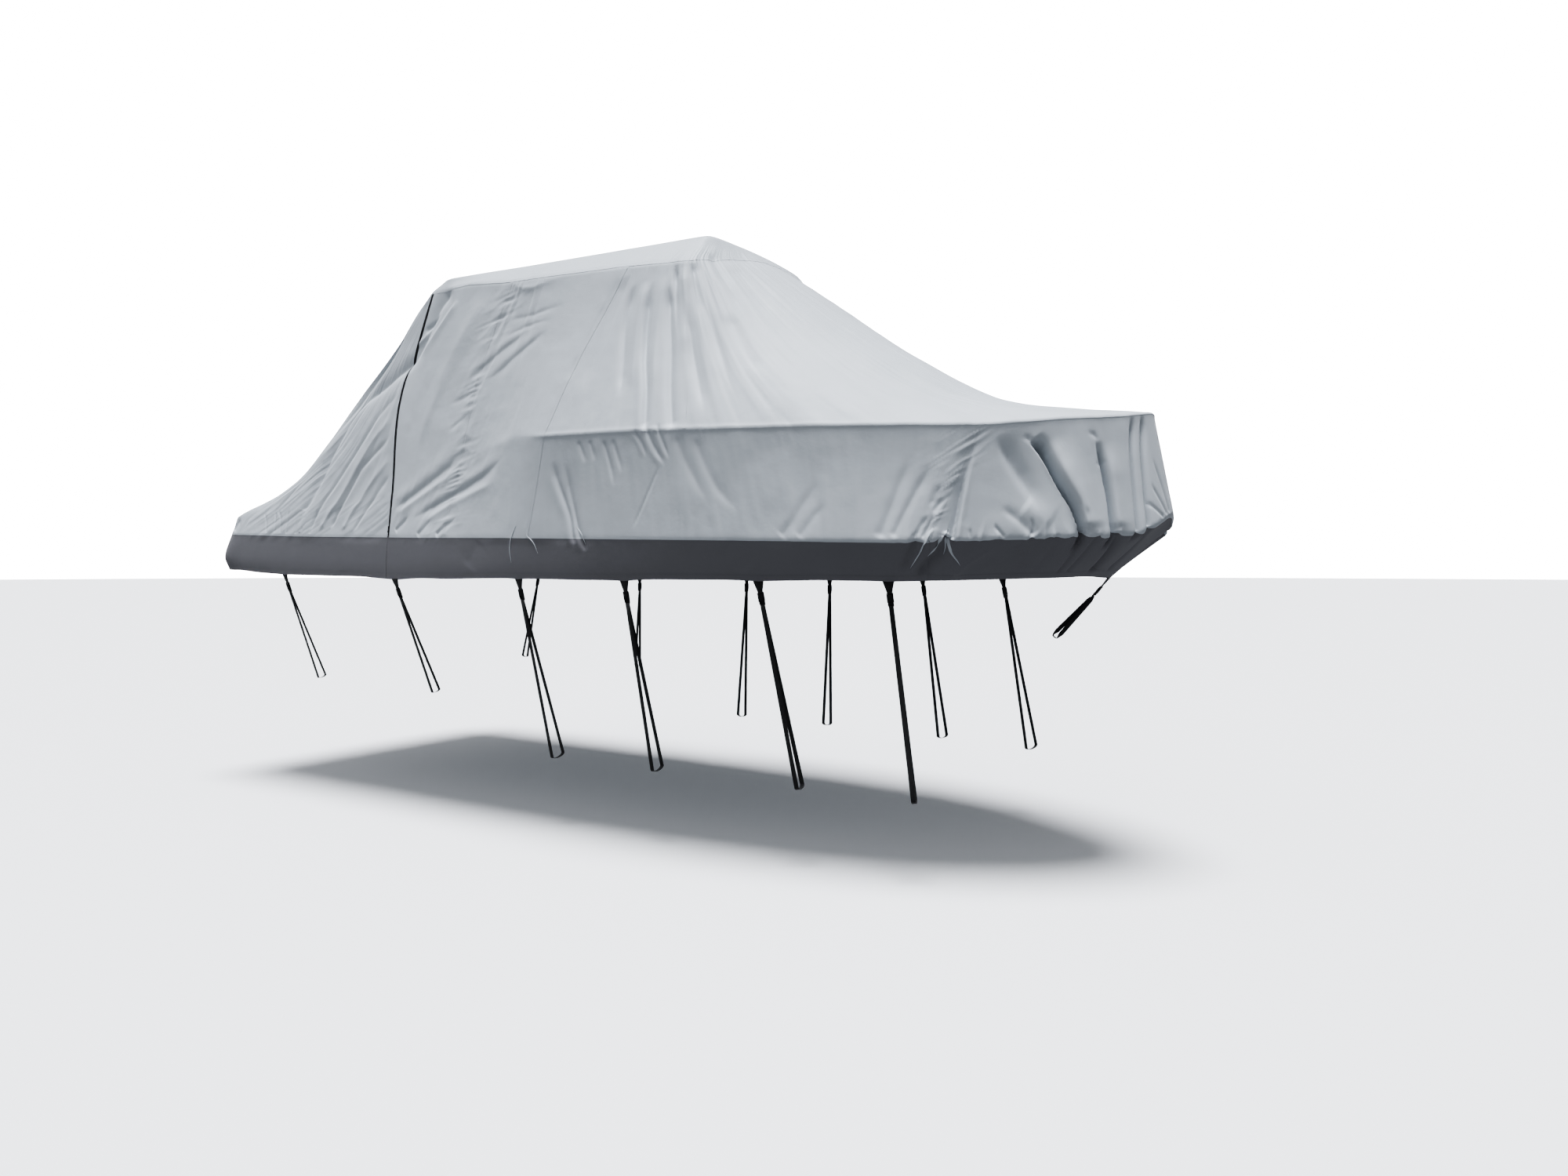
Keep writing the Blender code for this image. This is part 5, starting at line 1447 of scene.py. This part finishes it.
paint = speckled("floor_paint_matt_white", 0.9, 1.5, 0.6, 2.0, "#E9EAEB", "#F0F1F2")
floor_corners = [(x * FLOOR_REACH, y * FLOOR_REACH, GROUND) for x, y in ((-1, -1), (1, -1), (1, 1), (-1, 1))]
stage_piece("floor", floor_corners, [(0, 1, 2, 3)], paint)
screen, _, _ = new_material("backdrop_lit_white", 1.0, 1.5, Base_Color=linear("#000000"),
                            Emission_Color=linear("#FFFFFF"), Emission_Strength=BACKDROP_STRENGTH)
turns = [2 * math.pi * k / BACKDROP_SIDES for k in range(BACKDROP_SIDES)]
wall = [(BACKDROP_RADIUS * math.cos(a), BACKDROP_RADIUS * math.sin(a), z)
        for z in (GROUND, BACKDROP_HEIGHT) for a in turns] + [(0.0, 0.0, BACKDROP_PEAK)]
panes = []
for k in range(BACKDROP_SIDES):
    following = (k + 1) % BACKDROP_SIDES
    panes.append((k, following, BACKDROP_SIDES + following, BACKDROP_SIDES + k))
    panes.append((BACKDROP_SIDES + k, BACKDROP_SIDES + following, 2 * BACKDROP_SIDES))
stage_piece("backdrop", wall, panes, screen)
print("floor at, metres:", GROUND)

# %% Light
Lamp = namedtuple("Lamp", "name elevation azimuth softness strength")  # degrees, and watts a square metre
LAMPS = [Lamp("key", 85, -72, 25, 4.9), Lamp("fill_side", 52, -112, 60, 0.48)]
SKY_STRENGTH, GROUND_STRENGTH, HORIZON_SOFT = 0.30, 0.35, 0.25
world = bpy.data.worlds.new("overcast")
world.use_nodes = True
sky = world.node_tree.nodes["Background"]
around = add_node(world.node_tree, "TexCoord").outputs["Generated"]
height = add_node(world.node_tree, "SeparateXYZ", Vector=around)
strength = add_node(world.node_tree, "MapRange", Value=height.outputs["Z"], From_Min=-HORIZON_SOFT,
                    From_Max=HORIZON_SOFT, To_Min=GROUND_STRENGTH, To_Max=SKY_STRENGTH)
plug(world.node_tree, sky, Color=linear("#F0F3F9"), Strength=strength)
bpy.context.scene.world = world
bpy.context.scene.view_settings.view_transform = "AgX"
bpy.context.scene.view_settings.look = "AgX - High Contrast"
for lamp in LAMPS:
    light = bpy.data.lights.new(lamp.name, "SUN")
    light.energy = lamp.strength
    light.angle = math.radians(lamp.softness)
    light.color = linear("#FAFBFF")[:3]
    up, round_z = math.radians(lamp.elevation), math.radians(lamp.azimuth)
    towards = Vector((math.cos(up) * math.cos(round_z), math.cos(up) * math.sin(round_z), math.sin(up)))
    add_object(lamp.name, light).rotation_euler = towards.to_track_quat("Z", "Y").to_euler()
    print(lamp.name, "comes from:", [round(v, 2) for v in towards])
